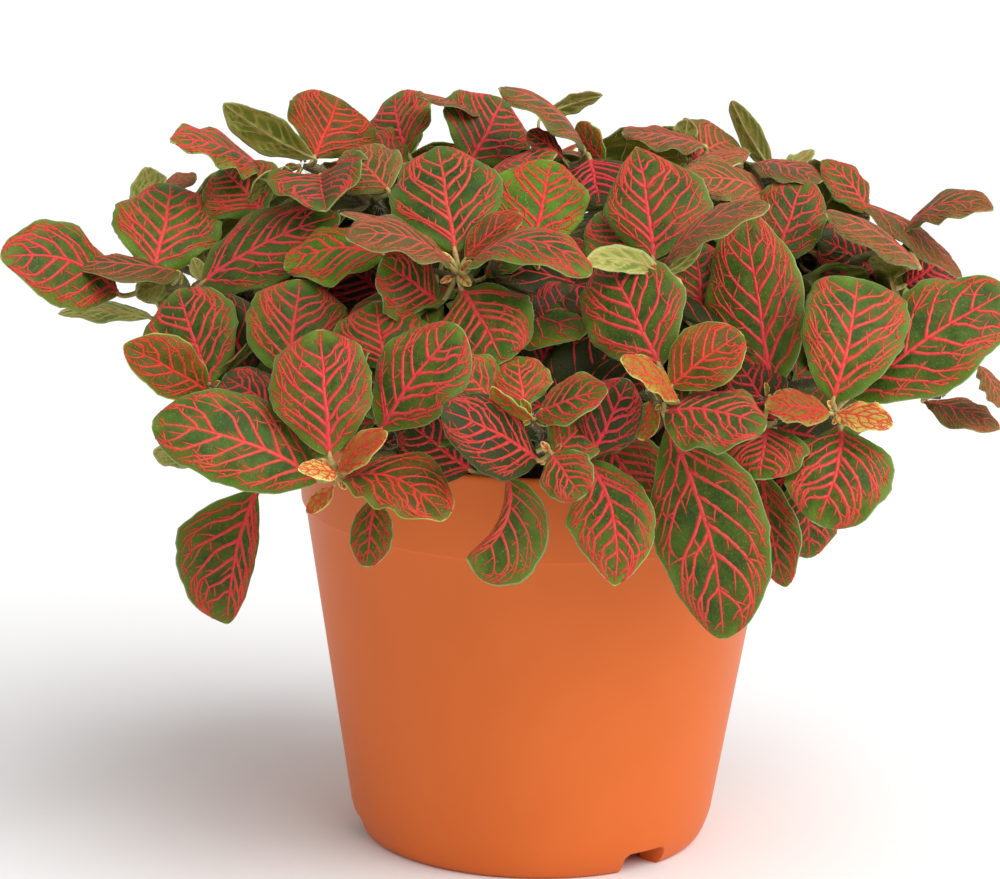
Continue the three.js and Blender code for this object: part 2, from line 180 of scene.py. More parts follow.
# Stems: where each leaves the soil (x, y), and its tip, which the view gives, or millimetres at the back. A
# stem first rises to its shoulder, except for the level one
STEM_FOOT_RADIUS = 1.7
STEM_TIP_RADIUS = 1.1
ROOTED_DEPTH = 8.0
SHOULDER_ALONG = 0.35
SHOULDER_DROP = 0.15
SHOULDER_LIFT = 6.0
LEVEL_STEM = "left"
STEM_STATIONS = 31
STEM_PATTERN = (0.9, 60)
STEM_PATTERN_STEP = 3.7
SWELLINGS, SWELLING_REACH, SWELLING_SHARE = (0.34, 0.56, 0.76, 0.93), 0.022, 0.28
HAIRY_FROM = 0.35
HAIR_LENGTHS = (0.7, 1.5)
STEMS = {
    "far_left": ((-36, 4), seen_at(150, 288, -3)),
    "left": ((-30, -20), seen_at(212, 388, -41)),
    "upper_left": ((-20, 16), seen_at(303, 166, 17)),
    "top": ((-3, 14), seen_at(462, 162, 17)),
    "middle": ((-12, -12), seen_at(458, 274, -42)),
    "middle_right": ((2, -8), seen_at(533, 258, -27)),
    "inner_right": ((15, -10), seen_at(653, 268, -36)),
    "upper_right": ((25, 10), seen_at(772, 206, 6)),
    "far_right": ((37, 0), seen_at(910, 250, 0)),
    "right": ((34, -20), seen_at(838, 415, -57)),
    "lower_right": ((22, -28), seen_at(768, 400, -48)),
    "front_right": ((12, -38), seen_at(664, 402, -71)),
    "front": ((-2, -42), seen_at(553, 455, -76)),
    "front_left": ((-18, -36), seen_at(338, 472, -77)),
    "back_left": ((-24, 34), np.array([-58.0, 58.0, 134.0])),
    "back": ((2, 38), np.array([4.0, 70.0, 140.0])),
    "back_right": ((26, 32), np.array([60.0, 54.0, 136.0])),
}

# Side shoots: the stem that carries each, how far along it the shoot leaves, and the shoot's tip in
# millimetres
SHOOT_RADII = (1.25, 0.95)
SHOOTS = {
    "far_left_shoot": ("far_left", 0.72, (-96, 15, 139)),
    "left_shoot": ("left", 0.5, (-65, -20, 122)),
    "left_low_shoot": ("left", 0.62, (-76, -46, 105)),
    "upper_left_shoot": ("upper_left", 0.55, (-42, 3, 159)),
    "upper_left_outer_shoot": ("upper_left", 0.7, (-72, 16, 156)),
    "top_left_shoot": ("top", 0.7, (-30, 30, 163)),
    "top_right_shoot": ("top", 0.5, (9, 19, 166)),
    "middle_left_shoot": ("middle", 0.6, (-35, -28, 149)),
    "front_upper_shoot": ("front", 0.62, (-2, -71, 124)),
    "front_inner_shoot": ("front", 0.5, (-1, -48, 127)),
    "upper_right_shoot": ("upper_right", 0.55, (39, 20, 166)),
    "upper_right_back_shoot": ("upper_right", 0.65, (56, 20, 165)),
    "far_right_shoot": ("far_right", 0.6, (79, 8, 156)),
    "far_right_low_shoot": ("far_right", 0.62, (86, 8, 138)),
    "right_outer_shoot": ("right", 0.5, (96, -31, 121)),
    "lower_right_shoot": ("lower_right", 0.7, (56, -57, 108)),
    "front_left_shoot": ("front_left", 0.5, (-40, -50, 127)),
    "back_far_left_shoot": ("far_left", 0.62, (-88, 40, 126)),
    "back_far_right_shoot": ("far_right", 0.62, (90, 36, 128)),
    "back_low_left_shoot": ("back_left", 0.5, (-64, 68, 112)),
    "back_low_shoot": ("back", 0.5, (-18, 82, 112)),
    "back_low_right_shoot": ("back_right", 0.45, (30, 82, 112)),
    "back_low_far_right_shoot": ("back_right", 0.55, (78, 58, 112)),
    "back_upper_left_shoot": ("back_left", 0.5, (-36, 52, 152)),
    "back_upper_right_shoot": ("back_right", 0.5, (34, 54, 152)),
    "back_middle_shoot": ("back", 0.5, (-2, 48, 160)),
    "back_top_right_shoot": ("upper_right", 0.6, (70, 34, 152)),
    "back_top_left_shoot": ("upper_left", 0.6, (-70, 38, 146)),
    "side_left_shoot": ("far_left", 0.5, (-76, 12, 118)),
    "side_left_low_shoot": ("left", 0.36, (-64, -10, 109)),
    "side_right_shoot": ("far_right", 0.5, (82, 18, 122)),
    "side_right_low_shoot": ("far_right", 0.36, (68, -4, 111)),
    "side_right_back_shoot": ("back_right", 0.4, (72, 30, 110)),
}

# Leaves seen in the view: stem or shoot, number, base and tip as column, row and depth, width in millimetres
# A row with the dark look gets painted shade, for a leaf that lies in shade among the others
# Leaves seen at a glancing angle take the look with a painted grey-pink sheen in their colours
LEAVES = (
    ("far_left", 1, (118, 294, -8), (0, 258, -26), 24, dict(roll=30, curl=50, bend=2.5, full=1.35)),
    ("far_left", 2, (152, 272, -6), (170, 184, 20), 27.5, dict(curl=45, bend=1)),
    ("far_left", 3, (203, 283, -14), (340, 216, -12), 26, dict(roll=-42, curl=35, belly=0.42)),
    ("far_left_shoot", 1, (152, 212, 28), (145, 167, 34), 12, dict(roll=150, full=1.5)),
    ("far_left_shoot", 3, (201, 280, -6), (193, 258, -4), 4.5, dict(roll=160)),
    ("far_left_shoot", 2, (150, 200, 30), (197, 178, 28), 14, dict(roll=-66, look="painted_sheen")),
    ("far_left", 5, (178, 272, -4), (71, 263, -14), 17,
     dict(roll=66, curl=25, bend=-1.5, full=1.3, look="painted_sheen")),
    ("far_left", 7, (180, 274, -2), (136, 296, -10), 9, dict(roll=150, curl=30, full=1.3)),
    ("far_left", 6, (152, 318, 4), (58, 314, 0), 13,
     dict(roll=112, curl=20, fold=0, camber=20, bend=-2, full=1.5)),
    ("left", 1, (207, 380, -42), (175, 286, -22), 25, dict(roll=-8, curl=45, bend=0.5)),
    ("left", 2, (257, 490, -50), (228, 624, -56), 20,
     dict(curl=30, bend=1.5, slim=-0.5, full=1.35, belly=0.5)),
    ("left", 3, (203, 396, -42), (118, 350, -48), 15,
     dict(roll=15, curl=35, fold=20, full=1.4, look="flushed")),
    ("left", 4, (212, 390, -36), (282, 328, -36), 14,
     dict(roll=-112, curl=20, fold=0, camber=20, full=1.3)),
    ("left_shoot", 1, (288, 374, -46), (300, 280, -32), 26, dict(curl=45, full=0.9)),
    ("left_shoot", 2, (262, 390, -16), (258, 335, 0), 24, dict(curl=30, look="dark")),
    ("left_low_shoot", 1, (200, 462, -40), (154, 450, -44), 10, dict(roll=130, curl=20, look="young")),
    ("upper_left", 1, (262, 170, 20), (170, 142, 4), 22,
     dict(roll=64, curl=35, bend=1.5, belly=0.36, full=1.4)),
    ("upper_left", 2, (314, 158, 20), (338, 98, 38), 24,
     dict(roll=8, curl=45, belly=0.6, look="flushed")),
    ("upper_left", 3, (314, 158, 14), (224, 103, 8), 13, dict(roll=140, curl=20, bend=2, full=1.4)),
    ("upper_left_outer_shoot", 1, (262, 212, 8), (222, 168, 20), 22, dict(roll=15)),
    ("upper_left", 5, (285, 190, 14), (258, 178, 4), 14, dict(roll=150, curl=20)),
    ("upper_left_shoot", 1, (320, 176, 6), (326, 212, -20), 28, dict(curl=20, fold=32, camber=15)),
    ("upper_left_shoot", 2, (388, 190, 0), (345, 152, 16), 18, dict(roll=20, curl=30, look="painted_sheen")),
    ("top", 1, (472, 160, 16), (503, 97, 36), 25, dict(roll=10, curl=45, full=1.3)),
    ("top", 2, (408, 154, 34), (396, 94, 50), 22, dict(roll=-30, slim=0.1, full=0.9)),
    ("top_left_shoot", 1, (474, 114, 34), (424, 99, 22), 18, dict(roll=84, curl=30, look="painted_sheen")),
    ("top_right_shoot", 1, (583, 148, 14), (499, 89, 8), 20,
     dict(roll=76, curl=60, camber=45, look="painted_sheen")),
    ("top_left_shoot", 2, (405, 165, 30), (345, 145, 36), 20, dict(roll=40, curl=30)),
    ("top", 6, (485, 176, 6), (556, 156, -2), 19, dict(roll=-70, curl=30)),
    ("top_right_shoot", 2, (546, 114, 30), (603, 95, 36), 8, dict(roll=-125, curl=20, full=1.7)),
    ("top_right_shoot", 3, (604, 162, 18), (577, 124, 26), 9, dict(roll=-40, curl=30, look="bright")),
    ("top_right_shoot", 4, (590, 160, 4), (600, 206, -8), 22, dict(look="dark")),
    ("top_right_shoot", 5, (562, 158, 8), (527, 133, 6), 9, dict(roll=40, look="dark")),
    ("middle", 1, (455, 252, -40), (438, 147, -14), 27.5, dict()),
    ("middle", 2, (450, 266, -46), (347, 240, -58), 19,
     dict(roll=62, curl=60, fold=12, bend=1.5, look="painted_sheen")),
    ("middle", 3, (462, 290, -46), (503, 363, -62), 26, dict(curl=50, bend=-0.5, belly=0.55)),
    ("middle", 4, (468, 270, -46), (590, 276, -60), 19, dict(roll=-62, curl=105, fold=10, bend=-1)),
    ("middle", 5, (466, 258, -42), (520, 214, -34), 10,
     dict(roll=-30, curl=35, fold=25, look="flushed")),
    ("middle", 6, (436, 302, -42), (380, 262, -48), 20, dict(roll=25, curl=30)),
    ("middle", 7, (452, 262, -44), (340, 214, -44), 12, dict(roll=76, curl=30, bend=3, look="painted_sheen")),
    ("middle_left_shoot", 1, (385, 256, -28), (284, 268, -26), 23,
     dict(roll=50, curl=50, bend=1.5, full=1.3, look="bright")),
    ("middle_right", 1, (533, 247, -30), (551, 161, -6), 24.5, dict(curl=45, look="bright")),
    ("middle_right", 2, (534, 268, -26), (590, 262, -20), 20, dict(roll=-20, curl=30)),
    ("front_inner_shoot", 1, (537, 372, -50), (572, 286, -34), 20, dict(roll=10, look="dark")),
    ("inner_right", 1, (653, 260, -38), (636, 147, -18), 27,
     dict(curl=22, bend=0.5, slim=-0.22, belly=0.42, full=1.8)),
    ("inner_right", 2, (664, 268, -42), (770, 206, -48), 18, dict(roll=-68, curl=65, look="painted_sheen")),
    ("inner_right", 3, (640, 262, -30), (596, 210, -22), 20, dict(roll=20)),
    ("inner_right", 4, (702, 322, -36), (695, 241, -24), 21, dict(roll=5, curl=35)),
    ("upper_right", 1, (776, 262, -10), (803, 179, 4), 18.5, dict(roll=-5, full=0.9)),
    ("upper_right", 2, (770, 198, 4), (690, 182, -6), 19, dict(roll=52, bend=1.5, look="painted_sheen")),
    ("upper_right_shoot", 1, (690, 160, 22), (735, 140, 30), 22, dict(roll=-30, look="painted_sheen")),
    ("upper_right_shoot", 2, (704, 146, 20), (622, 134, 16), 20, dict(roll=72, curl=25, look="painted_sheen")),
    ("upper_right_shoot", 3, (700, 158, 16), (737, 165, 6), 20, dict(roll=-60, look="painted_sheen")),
    ("upper_right_shoot", 4, (680, 152, 26), (688, 119, 28), 8, dict(roll=150)),
    ("upper_right_back_shoot", 1, (770, 166, 22), (731, 99, 30), 8,
     dict(roll=140, fold=20, bend=2)),
    ("upper_right_back_shoot", 2, (768, 164, 18), (811, 145, 22), 8, dict(roll=120, curl=30, bend=-1.5)),
    ("upper_right_back_shoot", 3, (755, 164, 14), (822, 182, 6), 18, dict(roll=-68, look="painted_sheen")),
    ("far_right", 1, (917, 266, -8), (826, 216, -16), 18,
     dict(roll=68, camber=45, full=0.85, look="painted_sheen")),
    ("far_right", 2, (905, 232, 2), (993, 211, -6), 16,
     dict(roll=-62, curl=70, bend=-2.5, full=1.5, look="painted_sheen")),
    ("far_right", 3, (908, 268, -4), (868, 262, -2), 11, dict(roll=125)),
    ("far_right_shoot", 1, (868, 214, 8), (821, 161, 12), 14, dict(roll=45, curl=50, full=1.5)),
    ("far_right_shoot", 2, (858, 203, 10), (962, 278, 0), 15,
     dict(roll=-64, camber=50, full=1.3, look="painted_sheen")),
    ("far_right_low_shoot", 1, (878, 278, 6), (818, 240, -2), 22, dict(roll=25, look="dark")),
    ("far_right_low_shoot", 2, (905, 285, 10), (950, 255, 16), 20, dict(look="dark")),
    ("right", 1, (833, 400, -60), (857, 279, -42), 25.5, dict(curl=75, bend=0.5, belly=0.68, full=0.58)),
    ("right", 2, (850, 396, -52), (1010, 290, -42), 27, dict(roll=-18)),
    ("right", 3, (840, 430, -60), (816, 524, -76), 26, dict(roll=10, curl=70, bend=-2, full=0.9)),
    ("right", 4, (829, 413, -62), (765, 407, -66), 13, dict(roll=50, curl=30, fold=15, look="amber")),
    ("right", 5, (837, 414, -62), (893, 427, -70), 10,
     dict(roll=-40, curl=35, fold=20, full=1.4, look="young")),
    ("right_outer_shoot", 1, (925, 402, -28), (1000, 430, -36), 16,
     dict(roll=-58, curl=30, full=1.7, look="painted_sheen")),
    ("right_outer_shoot", 2, (978, 366, -34), (1000, 408, -38), 11, dict(roll=-60, look="painted_sheen")),
    ("lower_right", 1, (772, 386, -46), (745, 214, -26), 24, dict(roll=-5, belly=0.44)),
    ("lower_right", 2, (762, 472, -56), (786, 587, -60), 15, dict(roll=25, curl=30, full=1.35)),
    ("lower_right_shoot", 1, (768, 428, -62), (760, 480, -72), 22, dict(roll=20, curl=35)),
    ("lower_right_shoot", 2, (800, 478, -54), (809, 558, -58), 18, dict(roll=-20, curl=30)),
    ("lower_right_shoot", 3, (775, 420, -48), (738, 362, -44), 16, dict(look="dark")),
    ("lower_right_shoot", 4, (792, 440, -48), (776, 506, -50), 15, dict(look="dark")),
    ("front_right", 1, (660, 366, -66), (607, 257, -44), 25.5, dict(roll=-5, curl=50)),
    ("front_right", 2, (666, 412, -74), (766, 428, -84), 24, dict(roll=-48, curl=45, camber=35)),
    ("front_right", 3, (668, 428, -68), (723, 639, -78), 28, dict(roll=3, curl=30, bend=-3)),
    ("front_right", 4, (672, 386, -72), (742, 334, -66), 17, dict(roll=-20, fold=18, look="flushed")),
    ("front_right", 5, (677, 400, -76), (620, 360, -84), 11,
     dict(roll=55, curl=25, fold=20, look="amber")),
    ("front_right", 6, (650, 404, -68), (639, 442, -72), 7, dict(curl=20, look="bright")),
    ("front", 1, (537, 460, -76), (441, 410, -90), 20.5, dict(roll=30, curl=35, look="dark")),
    ("front", 2, (506, 476, -70), (467, 561, -80), 14,
     dict(curl=35, camber=35, bend=-4.4, slim=0.72, belly=0.62, full=1)),
    ("front", 3, (588, 460, -70), (614, 586, -84), 21, dict(curl=30, bend=-3, full=1.6)),
    ("front", 4, (590, 457, -74), (628, 379, -70), 16, dict(roll=10, curl=35, look="dark")),
    ("front", 5, (556, 452, -78), (600, 404, -68), 15, dict(curl=35, fold=12)),
    ("front", 6, (552, 455, -84), (582, 498, -92), 13.5, dict(curl=35, fold=15)),
    ("front", 11, (600, 436, -58), (652, 510, -64), 22, dict(roll=-10)),
    ("front_upper_shoot", 1, (524, 407, -70), (517, 357, -60), 14.5, dict(curl=35)),
    ("front_upper_shoot", 2, (537, 416, -72), (609, 391, -80), 15,
     dict(roll=-44, curl=35, fold=12, full=1.35)),
    ("front_upper_shoot", 3, (532, 418, -76), (492, 386, -82), 8,
     dict(roll=-50, curl=30, fold=35, full=1.3, look="bright")),
    ("front_upper_shoot", 4, (500, 410, -66), (452, 362, -66), 16, dict(roll=20, curl=30)),
    ("front_left", 1, (330, 456, -78), (320, 330, -62), 25, dict(belly=0.56)),
    ("front_left", 2, (318, 480, -74), (152, 424, -76), 25, dict(roll=25, camber=35, bend=1.5)),
    ("front_left", 3, (381, 430, -70), (459, 326, -64), 23, dict(roll=-22, belly=0.52)),
    ("front_left", 4, (343, 480, -80), (444, 521, -92), 23,
     dict(roll=-48, curl=75, fold=12, bend=-2, look="flushed")),
    ("front_left", 5, (337, 475, -82), (298, 470, -90), 6.5,
     dict(roll=45, curl=25, fold=20, full=1.35, look="young")),
    ("front_left", 6, (339, 472, -80), (388, 433, -84), 10,
     dict(roll=-45, curl=25, fold=20, full=1.3, look="amber")),
    ("front_left", 7, (333, 487, -78), (307, 514, -82), 4.8,
     dict(roll=20, curl=20, fold=15, full=1.4, look="amber")),
    ("front_left", 8, (374, 500, -72), (366, 567, -78), 10.5, dict(curl=25, full=1.0)),
    ("front_left_shoot", 1, (384, 368, -56), (376, 302, -46), 24, dict(curl=30)),
    ("front", 10, (470, 470, -56), (405, 420, -60), 22, dict(curl=30, look="dark")),
    ("left", 8, (285, 420, -50), (224, 376, -50), 15, dict(roll=20, look="dark")),
    ("middle_left_shoot", 2, (395, 302, -20), (332, 258, -12), 26, dict(roll=10, look="dark")),
    ("front_right", 7, (661, 274, -54), (586, 264, -56), 8, dict(roll=-150, bend=-3.5)),
    ("inner_right", 5, (661, 274, -44), (702, 239, -40), 4, dict(roll=165, bend=-1)),
)

# The rear nodes: leaves stand out around each rear stem's tip and face away from the middle of the mound
MOUND_CENTRE = np.array([0.0, 0.0, 95.0])
REAR_STEMS = ("back_left", "back", "back_right")
REAR_LEAF_LENGTH = 37.0
REAR_LEAF_WIDTH = 25.0
REAR_LEAF_TURNS = (20, 140, 260)
REAR_LEAF_STEP = 4.5
REAR_LEAF_RISE = 5

# Numbers that start each kind's random draws, so that every run gives the same plant
SOIL_SEED = 41
STEM_SEED = 500
SEEN_LEAF_SEED = 100
REAR_LEAF_SEED = 300
TUFT_SEED = 700
TUFT_LEAF_SEED = 800
INNER_SEED = 1500
INNER_LEAF_SEED = 2000
BUD_SEED = 3000
BUD_LEAF_SEED = 3100

# Tufts that the view doesn't show: the shoot whose tip carries each, the turn of its first pair of leaves in
# degrees, and the length of those leaves. Then, for each of its pairs: scale, millimetres behind the tip, how
# steeply the leaves rise, and their look
TUFTS = (
    ("back_far_left_shoot", 20, 36),
    ("back_far_right_shoot", -25, 36),
    ("back_low_left_shoot", 10, 38),
    ("back_low_shoot", 60, 38),
    ("back_low_right_shoot", -10, 36),
    ("back_low_far_right_shoot", 35, 38),
    ("back_upper_left_shoot", 30, 36),
    ("back_upper_right_shoot", -35, 36),
    ("back_middle_shoot", 5, 34),
    ("back_top_right_shoot", 50, 32),
    ("back_top_left_shoot", 70, 32),
    ("side_left_shoot", 35, 34),
    ("side_left_low_shoot", 80, 32),
    ("side_right_shoot", -30, 34),
    ("side_right_low_shoot", 15, 32),
    ("side_right_back_shoot", 60, 34),
)
TUFT_PAIRS = (
    (1.0, 9.0, (0.05, 0.3), "mature"),
    (0.8, 4.0, (0.05, 0.3), "mature"),
    (0.42, 0.5, (0.5, 0.8), "flushed"),
)
TUFT_DROP = 0.16
TUFT_LENGTH_SHARE = (0.9, 1.08)
TUFT_WIDTH_SHARE = (0.62, 0.72)
TUFT_SHAPE = {"curl": (30, 60), "fold": (6, 16), "camber": (24, 38), "roll": (-12, 12), "bend": (-1.5, 1.5)}

# The foliage's outline in the view, as columns and rows, and the mound that holds the inner leaves, in
# millimetres: its middle and its half widths
OUTLINE = (
    (40, 300), (75, 245), (130, 215), (190, 182), (215, 165), (250, 150), (290, 140), (330, 135),
    (380, 122), (430, 120), (480, 114), (530, 114), (590, 130), (640, 142), (700, 140), (760, 147),
    (800, 168), (840, 197), (880, 217), (920, 237), (950, 272), (960, 300), (950, 378), (900, 398),
    (880, 436), (850, 480), (800, 500), (760, 480), (700, 470), (640, 470), (560, 470), (480, 465),
    (440, 455), (330, 466), (300, 466), (210, 455), (178, 400), (166, 350), (140, 318), (100, 310),
)
INNER_MOUND = (np.array([0.0, 0.0, 98.0]), np.array([110.0, 74.0, 72.0]))
LOWEST_INNER_LEAF = 102.5
LOWEST_INNER_NODE = 100.0
INNER_LEAF_LENGTH = (25, 33)
INNER_LEAF_DROP = 0.12
INNER_WIDTH_SHARE = (0.64, 0.74)
INNER_SHAPE = {"roll": (-15, 15), "curl": (30, 60), "fold": (4, 14), "camber": (24, 38), "bend": (-1.5, 1.5)}
# Share of inner leaves in the mature look; the rest take the dark look, painted shade for the mound's shaded
# inside
MATURE_SHARE = 0.4

# How far behind the tip the inner leaves' nodes lie, in millimetres
NODE_STEPS = {"stem": (12.0, 22.0, 32.0, 42.0, 51.0, 59.0), "shoot": (11.0, 20.0, 28.0)}

# Buds at the tips: the stem, the length of the bud's small leaves in millimetres and their look
BUDS = (
    ("middle", 5.5, "young"), ("front_left", 4.5, "young"), ("right", 5.0, "young"),
    ("front_right", 4.0, "bright"), ("front", 4.0, "young"), ("front_upper_shoot", 4.5, "bright"),
    ("left", 4.5, "bright"), ("far_left", 4.0, "bright"), ("upper_left", 4.5, "bright"),
    ("top", 4.0, "bright"), ("inner_right", 4.5, "bright"), ("middle_right", 4.0, "bright"),
    ("lower_right", 4.0, "bright"), ("upper_right", 4.0, "bright"),
)
BUD_HAIRS = 70
BUD_HAIR_LENGTHS = (0.9, 2.0)
HAIR_RADIUS = 0.05

# Leaf blades, in millimetres. Veins reach at most the limit's share of the half width. A vein's crest and its
# rib's depth are given for each kind
LEAF_THICKNESS = 0.42
STALK_GAP = 0.23
SHORTEST_STALK = 1.6
STALK_KNEE = 0.45
STALK_STATIONS = 9
OUTLINE_WAVES = np.array([0.03, 0.02, 0.012])
FULL_WIDTH = 25.0
ACROSS_SQUEEZE = 0.8
VEIN_LIMIT = 0.92
VEIN_CREST = {"main": 0.22, "side": 0.16, "fine": 0.14}
RIB_DEPTH = {"main": 0.45, "side": 0.16, "fine": 0.0}
ROOF_SHARE = 0.95
QUILT_REACH, FINE_REACH, FLAT_RIM = 2.1, 0.8, 2.2
FAR_AWAY = 9.0
STALK_PATTERN = (0.5, 2.0)
LEAF_PATTERN_STEP = 1.37

# How finely a leaf is built, for each level of detail: in buds, in hidden leaves, in rear leaves and in full
# view. Columns and rows have a least and a most, and twigs are counted on each side vein, midrib and fork
DETAIL_KEYS = ("columns", "rows", "pairs", "main", "side", "fork", "twig", "twigs", "around", "keel")
DETAILS = [dict(zip(DETAIL_KEYS, values)) for values in (
    ((7, 7), (9, 9), 3, 6, 4, 0, 0, (), 4, False),
    ((9, 9), (12, 12), 5, 8, 6, 0, 3, (1, 0), 5, False),
    ((13, 13), (19, 19), 6, 13, 8, 0, 3, (3, 2), 6, True),
    ((11, 21), (21, 35), 7, 21, 11, 5, 4, (4, 5, 1), 8, True),
)]

TOP, UNDER, VEIN, RIB, HAIR = range(5)
LEAF_FIELDS = ("place", "margin", "vein", "order")

# Stage, in millimetres, and in metres where the lights are
FLOOR_SIDES = 96
FLOOR_RADIUS = 7000
PANEL_SIZE = 0.6
PANEL_PLACE, PANEL_TARGET = (0.9, -0.35, 0.55), (0.05, 0, 0.08)
SUN_PLACE, SUN_TARGET = (0.5, -0.45, 1.0), (0, 0, 0)
SUN_SPREAD = math.radians(60)
SENSOR_WIDTH = 36.0
CLIP_START, CLIP_END = 0.05, 30.0


# Meshes

class Shell:
    """Collects parts of one piece: points in millimetres, faces with a material slot, and values by point."""

    def __init__(self, fields=()):
        self.points, self.corners, self.sizes, self.slots = [], [], [], []
        self.fields = {name: [] for name in fields}
        self.count = 0

    def add(self, points, faces, slots, **fields):
        """faces lists arrays of rows into points, and slots gives one number or array for each of them."""
        points = np.asarray(points, float).reshape(-1, 3)
        for face, slot in zip(faces, slots):
            self.corners.append((face + self.count).ravel())
            self.sizes.append(np.full(len(face), face.shape[1]))
            self.slots.append(np.broadcast_to(slot, len(face)))
        for name, values in self.fields.items():
            value = np.asarray(fields.get(name, 0.0), float)
            shape = (len(points), 3) if name == "place" else (len(points),)
            values.append(np.broadcast_to(value, shape))
        self.points.append(points)
        self.count += len(points)

    def piece(self, name, materials, sharp=None):
        """The finished object, in metres. sharp is the angle in degrees past which an edge stays hard."""
        mesh = bpy.data.meshes.new(name)
        points = np.concatenate(self.points) * MM
        corners = np.concatenate(self.corners)
        sizes = np.concatenate(self.sizes)
        mesh.vertices.add(len(points))
        mesh.vertices.foreach_set("co", points.astype(np.float32).ravel())
        mesh.loops.add(len(corners))
        mesh.loops.foreach_set("vertex_index", corners.astype(np.int32))
        mesh.polygons.add(len(sizes))
        mesh.polygons.foreach_set("loop_start", (np.cumsum(sizes) - sizes).astype(np.int32))
        mesh.polygons.foreach_set("material_index", np.concatenate(self.slots).astype(np.int32))
        mesh.update(calc_edges=True)
        for field, values in self.fields.items():
            values = np.concatenate(values).astype(np.float32)
            kind, key = ("FLOAT_VECTOR", "vector") if values.ndim == 2 else ("FLOAT", "value")
            mesh.attributes.new(field, kind, "POINT").data.foreach_set(key, values.ravel())
        mesh.shade_smooth()
        if sharp is not None:
            mesh.set_sharp_from_angle(angle=math.radians(sharp))
        for material in materials:
            mesh.materials.append(material)
        piece = bpy.data.objects.new(name, mesh)
        bpy.context.scene.collection.objects.link(piece)
        return piece


def finish_piece(piece, slot, *nodes):
    """The piece rides on the only body and stands for the nodes. Its slot is not used."""
    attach(piece, "root")
    if nodes:
        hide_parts(*nodes)


def tube_faces(tubes, rings, sides):
    """Quads that join ring to ring along several tubes, each of the same number of rings and sides."""
    tube = np.arange(tubes)[:, None, None] * rings * sides
    ring = np.arange(rings - 1)[None, :, None] * sides
    side = np.arange(sides)[None, None, :]
    a = tube + ring + side
    b = tube + ring + (side + 1) % sides
    return np.stack([a, b, b + sides, a + sides], -1).reshape(-1, 4)


def end_faces(tubes, rings, sides):
    """The flat faces that close both ends of each tube."""
    first = np.arange(tubes)[:, None] * rings * sides + np.arange(sides)[::-1]
    last = np.arange(tubes)[:, None] * rings * sides + (rings - 1) * sides + np.arange(sides)
    return np.concatenate([first, last])


def tangents_of(path):
    """Unit directions along paths of points, shape (..., n, 3)."""
    return unit(np.gradient(path, axis=-2))


def round_tube(path, radii, sides):
    """Rings around a path: each is a circle across the path, kept from twisting by one common side vector."""
    tangents = tangents_of(path)
    spread = path[-1] - path[0]
    common = unit(np.cross(UP, spread) if np.linalg.norm(np.cross(UP, spread)) > 1e-6 else VIEW_RIGHT)
    common = common + 1e-3 * UP
    across = unit(common - np.sum(common * tangents, -1, keepdims=True) * tangents)
    out = np.cross(tangents, across)
    angle = np.arange(sides) * 2 * np.pi / sides
    ring = across[:, None] * np.cos(angle)[:, None] + out[:, None] * np.sin(angle)[:, None]
    return path[:, None] + np.asarray(radii)[:, None, None] * ring


def add_tube(shell, path, radii, sides, slot, step, along, own, **fields):
    """Adds a round tube with flat ends. Its pattern's place moves by a step from side to side."""
    rings = round_tube(path, radii, sides)
    across, along = np.meshgrid(np.arange(sides) * step, along)
    shell.add(rings, [tube_faces(1, len(path), sides), end_faces(1, len(path), sides)], [slot, slot],
              place=pattern_place(across, along, own).reshape(-1, 3), **fields)


def pattern_place(x, y, own):
    """Where a material reads its pattern: two lengths in millimetres, and a number of the piece's own."""
    return np.stack([x, y, np.full(x.shape, own)], -1)


def revolved(points, low, high):
    """A shell from a section carried round the axis, rows by angle, closed to a low and a high middle point.

    Angles run so that the faces look outward when they grow against the clock, seen from above.
    """
    rows, columns = points.shape[:2]
    row = np.arange(rows)[:, None]
    after = (row + 1) % rows
    column = np.arange(columns - 1)
    wall = np.stack([row * columns + column, after * columns + column,
                     after * columns + column + 1, row * columns + column + 1], -1).reshape(-1, 4)
    row, after = row[:, 0], after[:, 0]
    under = np.stack([np.full(rows, rows * columns), after * columns, row * columns], -1)
    crown = np.stack([np.full(rows, rows * columns + 1), row * columns + columns - 1,
                      after * columns + columns - 1], -1)
    shell = Shell()
    shell.add(np.concatenate([points.reshape(-1, 3), [low, high]]), [wall, under, crown], [0, 0, 0])
    return shell


# Materials

